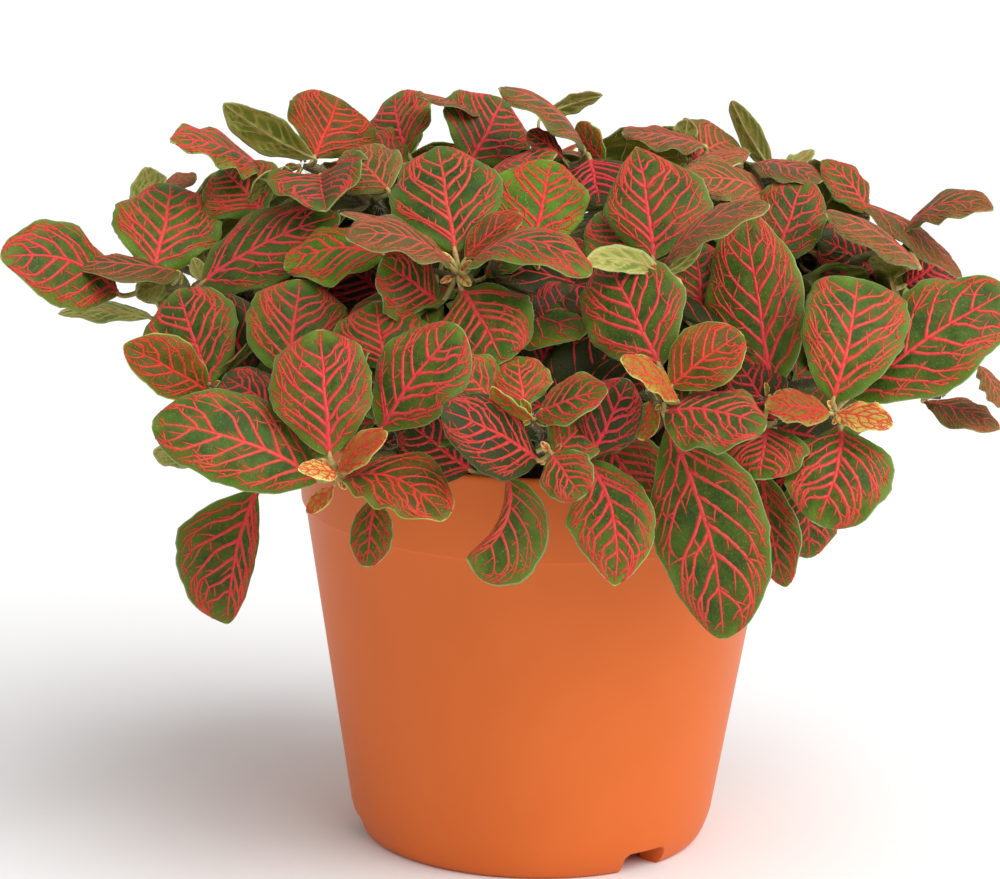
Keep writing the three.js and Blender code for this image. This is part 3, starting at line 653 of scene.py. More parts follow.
class Tree:
    """Adds nodes to a node tree and joins them."""

    def __init__(self, tree):
        self.tree = tree

    def add(self, kind, inputs=None, **settings):
        """A new node of this kind, with its settings and its inputs."""
        node = self.tree.nodes.new(kind)
        for name, value in settings.items():
            setattr(node, name, value)
        return self.feed(node, inputs or {})

    def feed(self, node, inputs):
        """Gives a node its inputs: an output of another node is linked, and any other value is set."""
        for key, value in inputs.items():
            if isinstance(value, bpy.types.NodeSocket):
                self.tree.links.new(value, node.inputs[key])
            else:
                node.inputs[key].default_value = value
        return node

    def math(self, operation, *values, clamp=False):
        """The result of a sum, a product and the like."""
        inputs = dict(enumerate(values))
        return self.add("ShaderNodeMath", inputs, operation=operation, use_clamp=clamp).outputs[0]

    def between(self, value, low, high, to_low=0.0, to_high=1.0):
        """A value's smooth rise from to_low at low to to_high at high."""
        inputs = {"Value": value, "From Min": low, "From Max": high, "To Min": to_low, "To Max": to_high}
        node = self.add("ShaderNodeMapRange", inputs, interpolation_type="SMOOTHSTEP")
        return node.outputs["Result"]

    def mix(self, share, first, second):
        """Two colours mixed. A mix node's inputs 0, 6 and 7 are the share and the colours."""
        node = self.add("ShaderNodeMix", data_type="RGBA", blend_type="MIX")
        return self.feed(node, {0: share, 6: first, 7: second}).outputs[2]

    def noise(self, place, scale, detail=3.0, rough=0.5):
        """Noise from 0 to 1."""
        inputs = {"Vector": place, "Scale": scale, "Detail": detail, "Roughness": rough}
        return self.add("ShaderNodeTexNoise", inputs).outputs["Fac"]

    def chance(self, seed):
        """A random number from 0 to 1 for each value of the seed."""
        return self.add("ShaderNodeTexWhiteNoise", {"W": seed}, noise_dimensions="1D").outputs["Value"]

    def attribute(self, name, output="Fac"):
        """A value that the mesh holds for each point."""
        return self.add("ShaderNodeAttribute", attribute_name=name).outputs[output]

    def group(self, name, inputs):
        """The outputs of a shared node group, which is built on its first use."""
        group = bpy.data.node_groups.get(name) or GROUPS[name](name)
        return self.add("ShaderNodeGroup", inputs, node_tree=group).outputs

    def position(self):
        """Object coordinates, in metres."""
        return self.add("ShaderNodeTexCoord").outputs["Object"]

    def bump(self, height, strength, distance):
        """The normal of a surface that a height makes uneven. The distance is in metres."""
        node = self.add("ShaderNodeBump", {"Height": height, "Strength": strength, "Distance": distance})
        return node.outputs["Normal"]


def colour(*srgb):
    """A colour given as a screen shows it, 0 to 255, as the linear colour that a shader takes."""
    share = np.array(srgb) / 255
    linear = np.where(share <= 0.04045, share / 12.92, ((share + 0.055) / 1.055) ** 2.4)
    return (*linear.tolist(), 1.0)


def new_group(name, inputs, outputs):
    """An empty node group with typed sockets: (tree, its input node, its output node)."""
    tree = bpy.data.node_groups.new(name, "ShaderNodeTree")
    for label, (kind, default) in inputs.items():
        socket = tree.interface.new_socket(name=label, in_out="INPUT", socket_type=kind)
        if default is not None:
            socket.default_value = default
    for label, kind in outputs.items():
        tree.interface.new_socket(name=label, in_out="OUTPUT", socket_type=kind)
    return Tree(tree), tree.nodes.new("NodeGroupInput"), tree.nodes.new("NodeGroupOutput")


def leaf_skin_group(name):
    """Cells and mottling of a leaf's skin: Height for a bump, Mottle, Tone and Speck for its colour."""
    number = "NodeSocketFloat"
    tree, given, made = new_group(
        name,
        {"Place": ("NodeSocketVector", None), "Cell Scale": (number, 2.0)},
        {"Height": number, "Mottle": number, "Tone": number, "Speck": number},
    )
    place = given.outputs["Place"]
    cells = tree.add("ShaderNodeTexVoronoi", {"Vector": place, "Scale": given.outputs["Cell Scale"]})
    fine = tree.noise(place, 1.1, 4.0, 0.6)
    wide = tree.noise(place, 0.16, 2.0)
    height = tree.math("MULTIPLY_ADD", cells.outputs["Distance"], -0.5, tree.math("MULTIPLY", fine, 0.8))
    lot = tree.add("ShaderNodeSeparateColor", {"Color": cells.outputs["Color"]}).outputs["Red"]
    near = tree.between(cells.outputs["Distance"], 0.4, 0.2)
    speck = tree.math("MULTIPLY", near, tree.between(lot, 0.84, 0.9))
    mottle, tone = tree.between(fine, 0.3, 0.7), tree.between(wide, 0.32, 0.68)
    tree.feed(made, {"Height": height, "Speck": speck, "Mottle": mottle, "Tone": tone})
    return tree.tree


def leaf_shift_group(name):
    """Gives each leaf a brightness and warmth of its own, from the seed that is its Place's third part."""
    tree, given, made = new_group(
        name,
        {"Colour": ("NodeSocketColor", None), "Place": ("NodeSocketVector", None),
         "Spread": ("NodeSocketFloat", 0.3), "Hue Spread": ("NodeSocketFloat", 0.03)},
        {"Colour": "NodeSocketColor"},
    )
    seed = tree.add("ShaderNodeSeparateXYZ", {"Vector": given.outputs["Place"]}).outputs["Z"]
    swing = tree.math("SUBTRACT", tree.chance(seed), 0.5)
    value = tree.math("MULTIPLY_ADD", swing, given.outputs["Spread"], 1.0)
    turn = tree.math("SUBTRACT", tree.chance(tree.math("ADD", seed, 17.0)), 0.5)
    hue = tree.math("MULTIPLY_ADD", turn, given.outputs["Hue Spread"], 0.5)
    inputs = {"Color": given.outputs["Colour"], "Value": value, "Hue": hue}
    shifted = tree.add("ShaderNodeHueSaturation", inputs)
    tree.feed(made, {"Colour": shifted.outputs["Color"]})
    return tree.tree


def grain_group(name):
    """Fine grain of moulded plastic: soft pits for a bump, and a slow drift of tone."""
    number = "NodeSocketFloat"
    tree, given, made = new_group(
        name,
        {"Position": ("NodeSocketVector", None), "Scale": (number, 900.0)},
        {"Height": number, "Drift": number},
    )
    position = given.outputs["Position"]
    pits = tree.noise(position, given.outputs["Scale"], 2.0)
    drift = tree.noise(position, 22.0, 3.0)
    tree.feed(made, {"Height": pits, "Drift": tree.between(drift, 0.3, 0.7)})
    return tree.tree


GROUPS = {"leaf_skin": leaf_skin_group, "leaf_shift": leaf_shift_group, "moulded_grain": grain_group}


def shared(name, paint, *given):
    """The material of this name. On its first use it is made, and paint gives its shader's inputs."""
    material = bpy.data.materials.get(name)
    if material is None:
        material = bpy.data.materials.new(name)
        material.use_nodes = True
        tree = Tree(material.node_tree)
        tree.feed(material.node_tree.nodes["Principled BSDF"], paint(tree, *given))
    return material


# For each kind of leaf: how strong and how wide the red brown beside its veins is (its halo), and its colours
# as a screen shows them
LOOK_KEYS = ("deep", "light", "rim", "halo", "edge", "vein", "vein_far")
LOOKS = {
    "mature": (0.56, 1.2, (34, 58, 10), (104, 132, 30), (100, 122, 36), (144, 66, 26),
               (172, 180, 118), (218, 60, 62), (194, 66, 42)),
    # The dark look is painted shade: a darker, duller copy of the leaf colours, for leaves that lie in shade
    # inside the foliage
    "dark": (0.35, 1.2, (36, 42, 10), (58, 70, 16), (50, 62, 20), (88, 34, 16),
             (106, 116, 78), (206, 40, 48), (164, 42, 30)),
    "bright": (0.3, 1.3, (36, 78, 6), (104, 146, 20), (112, 142, 28), (148, 80, 18),
               (188, 192, 108), (216, 48, 42), (190, 72, 26)),
    "flushed": (0.7, 2.0, (40, 58, 8), (88, 98, 18), (108, 118, 30), (172, 60, 16),
                (196, 190, 100), (214, 44, 36), (190, 58, 20)),
    "amber": (0.7, 1.4, (122, 88, 24), (156, 120, 40), (160, 148, 58), (184, 80, 28),
              (200, 192, 116), (210, 50, 38), (196, 66, 28)),
    # This look paints in a grey-pink sheen: the haze that leaves seen at a glancing angle show at the top and
    # the sides
    "painted_sheen": (0.38, 2.0, (68, 72, 26), (112, 106, 46), (114, 112, 48), (146, 70, 38),
              (180, 170, 118), (198, 74, 56), (156, 88, 48)),
    "young": (0.7, 1.0, (164, 136, 58), (204, 180, 88), (212, 198, 112), (196, 88, 44),
              (220, 208, 128), (214, 60, 48), (204, 84, 44)),
}


def look_of(name):
    """A look's halo share and reach, and its colours, by key."""
    share, reach, *colours = LOOKS[name]
    made = {key: colour(*value) for key, value in zip(LOOK_KEYS, colours)}
    return {**made, "halo_share": share, "halo_reach": reach}


def blade_paint(tree, look):
    """A leaf from above: deep green at the middle, lighter towards the rim, red brown beside fine veins."""
    place = tree.attribute("place", "Vector")
    margin = tree.attribute("margin")
    gap = tree.attribute("vein")
    skin = tree.group("leaf_skin", {"Place": place, "Cell Scale": 2.2})
    panel = tree.between(gap, 0.3, 2.6, 0.0, 0.16)
    near_rim = tree.between(margin, 6.0, 0.6, 0.0, 0.42)
    seed = tree.add("ShaderNodeSeparateXYZ", {"Vector": place}).outputs["Z"]
    flush = tree.math("MULTIPLY_ADD", tree.chance(tree.math("ADD", seed, 5.0)), 0.7, 0.32)
    tone = tree.math("MULTIPLY_ADD", skin["Tone"], 0.26, tree.math("ADD", panel, near_rim), clamp=True)
    green = tree.mix(tone, look["deep"], look["light"])
    green = tree.mix(tree.between(margin, 2.2, 0.3, 0.0, 0.6), green, look["rim"])
    beside = tree.between(gap, look["halo_reach"], 0.2)
    patch = tree.math("MULTIPLY", tree.between(skin["Tone"], 0.2, 0.9, 0.35, 1.0), look["halo_share"])
    patch = tree.math("MULTIPLY", patch, flush)
    green = tree.mix(tree.math("MULTIPLY", beside, patch, clamp=True), green, look["halo"])
    green = tree.mix(tree.math("MULTIPLY", skin["Mottle"], 0.22), green, look["light"])
    green = tree.mix(tree.math("MULTIPLY", skin["Speck"], 0.3), green, look["edge"])
    # A thin pale line along the margin: the margin's own pale hairs, with a painted rim highlight on them
    green = tree.mix(tree.between(margin, 0.42, 0.12, 0.0, 0.85), green, look["edge"])
    shifted = tree.group("leaf_shift", {"Colour": green, "Place": place, "Spread": 0.5})
    return {
        "Base Color": shifted["Colour"], "Roughness": tree.math("MULTIPLY_ADD", skin["Mottle"], 0.12, 0.42),
        "Specular IOR Level": 0.2, "Sheen Weight": 0.07, "Sheen Roughness": 0.45,
        "Sheen Tint": (1.0, 0.86, 0.8, 1.0), "Normal": tree.bump(skin["Height"], 0.5, 0.0003),
    }


def vein_paint(tree, look):
    """A vein from above: pink red along the middle of the leaf, more orange in its fine ends near the rim."""
    place = tree.attribute("place", "Vector")
    order = tree.attribute("order")
    margin = tree.attribute("margin")
    skin = tree.group("leaf_skin", {"Place": place, "Cell Scale": 3.0})
    rim = tree.between(margin, 5.0, 0.8, 0.0, 0.5)
    far = tree.math("MULTIPLY_ADD", order, 0.85, rim, clamp=True)
    red = tree.mix(far, look["vein"], look["vein_far"])
    red = tree.mix(tree.between(order, 0.9, 1.0, 0.0, 0.6), red, look["halo"])
    red = tree.mix(tree.math("MULTIPLY", skin["Mottle"], 0.18), red, colour(240, 120, 100))
    inputs = {"Colour": red, "Place": place, "Spread": 0.2, "Hue Spread": 0.008}
    return {
        "Base Color": tree.group("leaf_shift", inputs)["Colour"], "Roughness": 0.45,
        "Specular IOR Level": 0.2, "Sheen Weight": 0.05, "Normal": tree.bump(skin["Height"], 0.25, 0.00015),
    }


def underside_paint(tree):
    """The pale underside of a leaf: dull olive green, darker between the ribs and lighter at the rim."""
    place = tree.attribute("place", "Vector")
    gap = tree.attribute("vein")
    skin = tree.group("leaf_skin", {"Place": place, "Cell Scale": 1.6})
    olive = tree.mix(skin["Tone"], colour(96, 116, 26), colour(124, 134, 38))
    olive = tree.mix(tree.between(gap, 0.1, 0.6), colour(168, 166, 78), olive)
    olive = tree.mix(tree.between(gap, 0.4, 2.0, 0.0, 0.5), olive, colour(76, 98, 24))
    olive = tree.mix(tree.between(tree.attribute("margin"), 1.2, 0.2, 0.0, 0.5), olive, colour(184, 190, 124))
    shifted = tree.group("leaf_shift", {"Colour": olive, "Place": place, "Spread": 0.25})
    return {"Base Color": shifted["Colour"], "Roughness": 0.6,
            "Normal": tree.bump(skin["Height"], 0.5, 0.0003)}


def rib_paint(tree):
    """Ribs on the underside and the leaf stalks: pale green, flushed pink."""
    skin = tree.group("leaf_skin", {"Place": tree.attribute("place", "Vector"), "Cell Scale": 1.4})
    pale = tree.mix(skin["Tone"], colour(186, 184, 104), colour(170, 132, 82))
    return {"Base Color": pale, "Roughness": 0.55, "Normal": tree.bump(skin["Height"], 0.5, 0.0003)}


def stem_paint(tree):
    """Stem skin: brownish green, darker and redder towards the soil."""
    skin = tree.group("leaf_skin", {"Place": tree.attribute("place", "Vector"), "Cell Scale": 0.9})
    green = tree.mix(skin["Tone"], colour(90, 92, 44), colour(118, 92, 54))
    low = tree.between(tree.attribute("order"), 0.9, 0.2, 0.0, 0.8)
    green = tree.mix(low, green, colour(74, 48, 36))
    green = tree.mix(tree.math("MULTIPLY", skin["Mottle"], 0.2), green, colour(140, 126, 84))
    return {"Base Color": green, "Roughness": 0.65, "Normal": tree.bump(skin["Height"], 0.8, 0.0006)}


def hair_paint(tree):
    """Fine pale hairs on stems and buds."""
    noise = tree.noise(tree.attribute("place", "Vector"), 0.8)
    pale = tree.mix(noise, colour(206, 204, 176), colour(232, 228, 206))
    return {"Base Color": pale, "Roughness": 0.5}


def pot_paint(tree, settings):
    """Moulded plastic: terracotta orange with fine pits and faint, slow changes of tone."""
    grain = tree.group("moulded_grain", {"Position": tree.position(), "Scale": 1500.0})
    base = (*settings.colour, 1.0)
    worn = tuple(min(1.0, c * 1.1 + 0.01) for c in settings.colour) + (1.0,)
    orange = tree.mix(tree.math("MULTIPLY", grain["Drift"], 0.6), base, worn)
    rough = tree.math("MULTIPLY_ADD", grain["Drift"], 0.08, settings.roughness)
    return {"Base Color": orange, "Roughness": rough, "Specular IOR Level": 0.26,
            "Normal": tree.bump(grain["Height"], 0.12, 0.0002)}


def soil_paint(tree):
    """Moist dark peat: brown crumbs with darker hollows and pale fibres."""
    position = tree.position()
    crumbs = tree.add("ShaderNodeTexVoronoi", {"Vector": position, "Scale": 520.0})
    rough = tree.noise(position, 260.0, 6.0, 0.65)
    brown = tree.mix(tree.between(rough, 0.35, 0.7), colour(36, 24, 17), colour(78, 54, 38))
    fibre = tree.between(tree.noise(position, 900.0, 2.0), 0.66, 0.74, 0.0, 0.6)
    brown = tree.mix(fibre, brown, colour(128, 96, 66))
    height = tree.math("MULTIPLY_ADD", crumbs.outputs["Distance"], -0.6, rough)
    return {"Base Color": brown, "Roughness": 0.95, "Normal": tree.bump(height, 0.8, 0.0012)}


def perlite_paint(tree):
    """White grains of expanded glass, pitted."""
    pits = tree.noise(tree.position(), 1400.0, 3.0)
    white = tree.mix(pits, colour(206, 200, 188), colour(240, 238, 230))
    return {"Base Color": white, "Roughness": 0.9, "Normal": tree.bump(pits, 0.6, 0.0004)}


def floor_paint(tree):
    """Matt, nearly white, with a faint slow drift of tone."""
    tone = tree.mix(tree.noise(tree.position(), 3.0), (0.9, 0.9, 0.9, 1), (0.93, 0.93, 0.93, 1))
    return {"Base Color": tone, "Roughness": 0.9, "Specular IOR Level": 0.1}


# Pot

def wall_radius(height):
    """The outer wall's radius: a straight taper from the round bottom edge to the rim band."""
    rise = (height - WALL_LOW_HEIGHT) / (BAND_BOTTOM - WALL_LOW_HEIGHT)
    return WALL_LOW_RADIUS + rise * (WALL_TOP_RADIUS - WALL_LOW_RADIUS)


def pot_profile(settings):
    """The wall's section as radius and height: underside, foot, outer wall, rim band, lip, then inside."""
    band = settings.band_step / MM
    lip_inside = LIP_RADIUS - LIP_THICKNESS
    inner_foot = FOOT_RADIUS - FOOT_RING_WIDTH
    runs = [
        np.array([[STAND_RADIUS - 0.4, 0], [STAND_RADIUS, 0.4], [STAND_RADIUS, FLOOR_UNDERSIDE]]),
        np.array([[inner_foot, FLOOR_UNDERSIDE], [inner_foot, 0.4], [inner_foot + 0.4, 0]]),
        bent((FOOT_RADIUS, 0), (wall_radius(0) - 0.6, 0.6), (WALL_LOW_RADIUS, WALL_LOW_HEIGHT), 14),
        np.stack([wall_radius(np.linspace(12, 80, 18)), np.linspace(12, 80, 18)], 1),
        bent((wall_radius(84.2), 84.2), (WALL_TOP_RADIUS, BAND_BOTTOM + 0.1),
             (WALL_TOP_RADIUS + band * 0.5, BAND_BOTTOM), 4),
        bent((WALL_TOP_RADIUS + band * 0.6, BAND_BOTTOM), (WALL_TOP_RADIUS + band, BAND_BOTTOM),
             (WALL_TOP_RADIUS + band, BAND_BOTTOM + 0.5), 4),
        np.array([[WALL_TOP_RADIUS + band + 0.4, 91], [LIP_RADIUS - 0.5, 98]]),
        bent((LIP_RADIUS - 0.2, POT_HEIGHT - 1.8), (LIP_RADIUS, POT_HEIGHT), (LIP_RADIUS - 1, POT_HEIGHT), 8),
        bent((LIP_RADIUS - 1.3, POT_HEIGHT), (lip_inside, POT_HEIGHT), (lip_inside, POT_HEIGHT - 1), 6),
        np.array([[lip_inside - 0.6, 96], [WALL_TOP_RADIUS - WALL_THICKNESS, BAND_BOTTOM]]),
        np.array([[WALL_LOW_RADIUS - WALL_THICKNESS + 0.3, WALL_LOW_HEIGHT + 3]]),
        bent((WALL_LOW_RADIUS - WALL_THICKNESS - 0.6, WALL_LOW_HEIGHT + 1.5), (41.5, 7.2), (37, 6.9), 5),
        np.array([[inner_foot - 3, FLOOR_TOP], [20, FLOOR_TOP]]),
    ]
    return np.concatenate(runs)


def drain_height(arc):
    """How high a notch is cut, at a distance along the wall from its middle: flat, with round corners."""
    reach = np.abs(arc)
    half = DRAIN_WIDTH / 2
    round_off = np.clip(reach - (half - DRAIN_CORNER), 0, DRAIN_CORNER)
    top = DRAIN_HEIGHT - DRAIN_CORNER + np.sqrt(DRAIN_CORNER ** 2 - round_off ** 2)
    return np.where(reach <= half, top, 0.0)


def pot_angles(sides):
    """Angles around the pot, from the front towards the right: even steps, with closer ones at each notch."""
    even = np.linspace(-180, 180, sides, endpoint=False)
    half = math.degrees(DRAIN_WIDTH / 2 / FOOT_RADIUS)
    corner = math.degrees(DRAIN_CORNER / FOOT_RADIUS)
    notch = np.concatenate([np.linspace(half - corner, half, 7), [half + 0.04]])
    notch = np.concatenate([-notch[::-1], notch])
    kept = even
    for angle in DRAIN_ANGLES:
        away = np.abs((kept - angle + 180) % 360 - 180)
        kept = kept[(away > half + 0.5) | (away < half - corner - 0.5)]
    extra = [(angle + notch + 180) % 360 - 180 for angle in DRAIN_ANGLES]
    return np.radians(np.sort(np.concatenate([kept, *extra])))


def build_pot(settings):
    """The pot is its section carried round the axis. At a notch the foot's points are lifted to its edge.

    A point at an angle stands at radius times (sin, -cos) of it, so angles run from the front to the right.
    """
    profile = pot_profile(settings)
    angles = pot_angles(settings.sides)
    radius, height = profile[:, 0], profile[:, 1]
    foot = (np.arange(len(profile)) < FOOT_POINTS) & (radius >= FOOT_RADIUS - FOOT_RING_WIDTH - 0.01)
    foot &= ~np.isclose(height, FLOOR_UNDERSIDE)
    cut = np.zeros(len(angles))
    for angle in DRAIN_ANGLES:
        away = (np.degrees(angles) - angle + 180) % 360 - 180
        cut = np.maximum(cut, drain_height(np.radians(away) * FOOT_RADIUS))
    lifted = np.where(foot[None] & (height[None] < cut[:, None]), cut[:, None], height[None])
    points = np.stack([np.sin(angles)[:, None] * radius, -np.cos(angles)[:, None] * radius, lifted], -1)
    shell = revolved(points, (0, 0, 0), (0, 0, FLOOR_TOP))
    plastic = shared("moulded_terracotta", pot_paint, settings)
    piece = shell.piece("nursery_pot", [plastic], sharp=32)
    finish_piece(piece, "pot", "pot")


# Soil

def soil_height(x, y):
    """The soil's top before its crumbs: a low dome."""
    edge = wall_radius(SOIL_EDGE_HEIGHT)
    return SOIL_TOP_HEIGHT - (SOIL_TOP_HEIGHT - SOIL_EDGE_HEIGHT) * (x * x + y * y) / (edge * edge)


def rough_field(x, y, rng, waves, longest, shortest):
    """A rough height between about -1 and 1: a sum of plane waves of random direction, length and phase."""
    way = rng.uniform(0, 2 * np.pi, waves)
    length = np.geomspace(longest, shortest, waves)
    phase = rng.uniform(0, 2 * np.pi, waves)
    travel = x[..., None] * np.cos(way) + y[..., None] * np.sin(way)
    weight = (length / longest) ** 0.6
    height = (np.sin(2 * np.pi * travel / length + phase) * weight).sum(-1)
    return height / math.sqrt((weight ** 2).sum() / 2) / 2


def build_soil(settings):
    """The soil is a plug carried round the axis, whose top rings follow a rough low dome."""
    rng = np.random.default_rng(SOIL_SEED)
    inner = wall_radius(BAND_BOTTOM) - WALL_THICKNESS - SEAT_GAP - 0.3
    low = [(20, SOIL_BOTTOM), (31, SOIL_BOTTOM), (34, 8.2), (40, 8.6)]
    low.append((wall_radius(12) - WALL_THICKNESS - 0.9, 12))
    side = [(inner - 0.2, BAND_BOTTOM), (inner + 0.6, 92)]
    top = [(r, None) for r in np.linspace(inner + 0.6, 1.2, SOIL_RINGS)]
    angles = np.linspace(0, 2 * np.pi, SOIL_SIDES, endpoint=False)
    radius = np.array([r for r, _ in low + side + top])
    x, y = np.cos(angles)[:, None] * radius, np.sin(angles)[:, None] * radius
    rough = rough_field(x, y, rng, *SOIL_WAVES)
    dome = soil_height(x, y) - CRUMB_DEPTH + settings.roughness / MM * rough
    given = np.array([h if h is not None else np.nan for _, h in low + side + top])
    height = np.where(np.isnan(given)[None], dome, given[None])
    points = np.stack([x, y, height], -1)
    shell = revolved(points, (0, 0, SOIL_BOTTOM), (0, 0, soil_height(0, 0) - CRUMB_DEPTH))
    peat = shared("dark_peat", soil_paint)
    finish_piece(shell.piece("soil_plug", [peat]), "soil", "soil")
    scatter_grains("soil_crumbs", settings.crumbs, CRUMB_SIZES, rng, peat, CRUMB_SQUASH)
    white = shared("perlite", perlite_paint)
    scatter_grains("perlite_grains", settings.grains, PERLITE_SIZES, rng, white, PERLITE_SQUASH)


def scatter_grains(name, count, sizes, rng, material, squash):
    """Lumps on the soil: each is a small ball of 4 rings of 7, its radius varied point by point."""
    rings, sides = 4, 7
    tilt = np.linspace(0, np.pi, rings + 2)[1:-1]
    turn = np.linspace(0, 2 * np.pi, sides, endpoint=False)
    ball = np.stack([np.sin(tilt)[:, None] * np.cos(turn), np.sin(tilt)[:, None] * np.sin(turn),
                     np.cos(tilt)[:, None] + 0 * turn], -1).reshape(-1, 3)
    ball = np.concatenate([ball, [[0, 0, 1], [0, 0, -1]]])
    reach = wall_radius(SOIL_EDGE_HEIGHT) - WALL_THICKNESS - 3
    distance = reach * np.sqrt(rng.uniform(0, 1, count))
    angle = rng.uniform(0, 2 * np.pi, count)
    x, y = distance * np.cos(angle), distance * np.sin(angle)
    size = rng.uniform(*sizes, count)
    lumpy = rng.uniform(0.75, 1.2, (count, len(ball), 1))
    flat = np.array([1, 1, squash]) * rng.uniform(0.8, 1.2, (count, 1, 3))
    centre = np.stack([x, y, soil_height(x, y) - 0.6], -1)
    points = centre[:, None] + ball * lumpy * flat * size[:, None, None] / 2
    quads = tube_faces(1, rings, sides)
    side = np.arange(sides)
    after = (side + 1) % sides
    last = (rings - 1) * sides
    near = np.stack([np.full(sides, rings * sides), side, after], -1)
    far = np.stack([np.full(sides, rings * sides + 1), last + after, last + side], -1)
    offset = np.arange(count)[:, None, None] * len(ball)
    faces = [(part + offset).reshape(-1, part.shape[1]) for part in (quads[:, ::-1], near, far)]
    shell = Shell()
    shell.add(points, faces, [0, 0, 0])
    finish_piece(shell.piece(name, [material]), "soil")


# Stems

class Stem:
    """A stem's middle line from the soil, or from its carrier, to its tip, and its radius along it."""

    def __init__(self, name, line, radii, rooted):
        self.name, self.line, self.radii, self.rooted = name, line, radii, rooted
        self.tip = line[-1]
        self.tip_way = unit(line[-1] - line[-4])

    def at(self, share):
        """The point at a share of the line, and the direction there."""
        place = share * (len(self.line) - 1)
        low = min(int(place), len(self.line) - 2)
        step = self.line[low + 1] - self.line[low]
        return self.line[low] + (place - low) * step, unit(step)


def plan_stems():
    """All stems and side shoots by name. A shoot leaves its carrier along it and bends to its own tip."""
    made = {}
    for name, ((x, y), tip) in STEMS.items():
        foot = np.array([x, y, soil_height(x, y)])
        shoulder = foot + SHOULDER_ALONG * (tip - foot)
        lift = 0.0 if name == LEVEL_STEM else SHOULDER_LIFT
        shoulder[2] = tip[2] - SHOULDER_DROP * (tip[2] - foot[2]) + lift
        radii = np.linspace(STEM_FOOT_RADIUS, STEM_TIP_RADIUS, STEM_STATIONS)
        made[name] = Stem(name, bent(foot, shoulder, tip, STEM_STATIONS), radii, True)
    for name, (carrier, share, tip) in SHOOTS.items():
        parent = made[carrier]
        tip = np.array(tip, float)
        start, way = parent.at(share)
        reach = np.linalg.norm(tip - start)
        corner = start + 0.4 * reach * unit(way + 0.8 * UP)
        radii = np.linspace(*SHOOT_RADII, STEM_STATIONS)
        made[name] = Stem(name, bent(start, corner, tip, STEM_STATIONS), radii, False)
    return made


def hairs(roots, ways, lengths):
    """Thin three-sided spikes: points and faces for many at once."""
    side = unit(np.cross(ways, unit(UP + 0.3 * VIEW_RIGHT)))
    other = np.cross(ways, side)
    angle = np.array([0, 2, 4]) * np.pi / 3
    ring = side[:, None] * np.cos(angle)[:, None] + other[:, None] * np.sin(angle)[:, None]
    base = roots[:, None] + HAIR_RADIUS * ring
    tip = roots + ways * lengths[:, None]
    points = np.concatenate([base, tip[:, None]], 1)
    start = np.arange(len(roots))[:, None, None] * 4
    sides = np.array([[0, 1, 3], [1, 2, 3], [2, 0, 3], [2, 1, 0]])
    return points.reshape(-1, 3), (sides + start).reshape(-1, 3)


def build_stems(settings):
    """Each stem is a round tube along its line, swollen at its leaf nodes, with fine hairs that stand out."""
    skin = shared("hairy_stem", stem_paint)
    pale = shared("pale_hair", hair_paint)
    for index, stem in enumerate(plan_stems().values()):
        rng = np.random.default_rng(STEM_SEED + index)
        share = np.linspace(0, 1, STEM_STATIONS)
        swell = sum(np.exp(-((share - at) / SWELLING_REACH) ** 2) for at in SWELLINGS)
        radii = stem.radii * (1 + SWELLING_SHARE * swell)
        line = stem.line
        if stem.rooted:
            root = line[0] - UP * (ROOTED_DEPTH - SEAT_GAP)
            line = np.concatenate([[root, line[0] - 0.4 * UP], line[1:]])
            radii = np.concatenate([[STEM_FOOT_RADIUS], radii])
            share = np.concatenate([[0], share])
        radii = radii * np.where(np.arange(len(radii)) == len(radii) - 1, 0.6, 1)
        shell = Shell(("place", "order"))
        add_tube(shell, line, radii, settings.sides, 0, STEM_PATTERN[0], STEM_PATTERN[1] * share,
                 STEM_PATTERN_STEP * index, order=np.repeat(share, settings.sides))
        count = settings.hairs
        spots, ways = np.array([stem.at(a) for a in rng.uniform(HAIRY_FROM, 1.0, count)]).transpose(1, 0, 2)
        out = unit(rng.normal(size=(count, 3)))
        out = unit(out - np.sum(out * ways, -1, keepdims=True) * ways)
        rise = unit(out + 0.25 * rng.normal(size=(count, 3)))
        points, faces = hairs(spots + out * 1.05, rise, rng.uniform(*HAIR_LENGTHS, count))
        shell.add(points, [faces], [1], place=points, order=1.0)
        name = f"stem_{stem.name}" if stem.rooted else stem.name
        piece = shell.piece(f"{name}_skin" if stem.rooted else name, [skin, pale])
        finish_piece(piece, "stem", *([name] if stem.rooted else []))


# Leaves

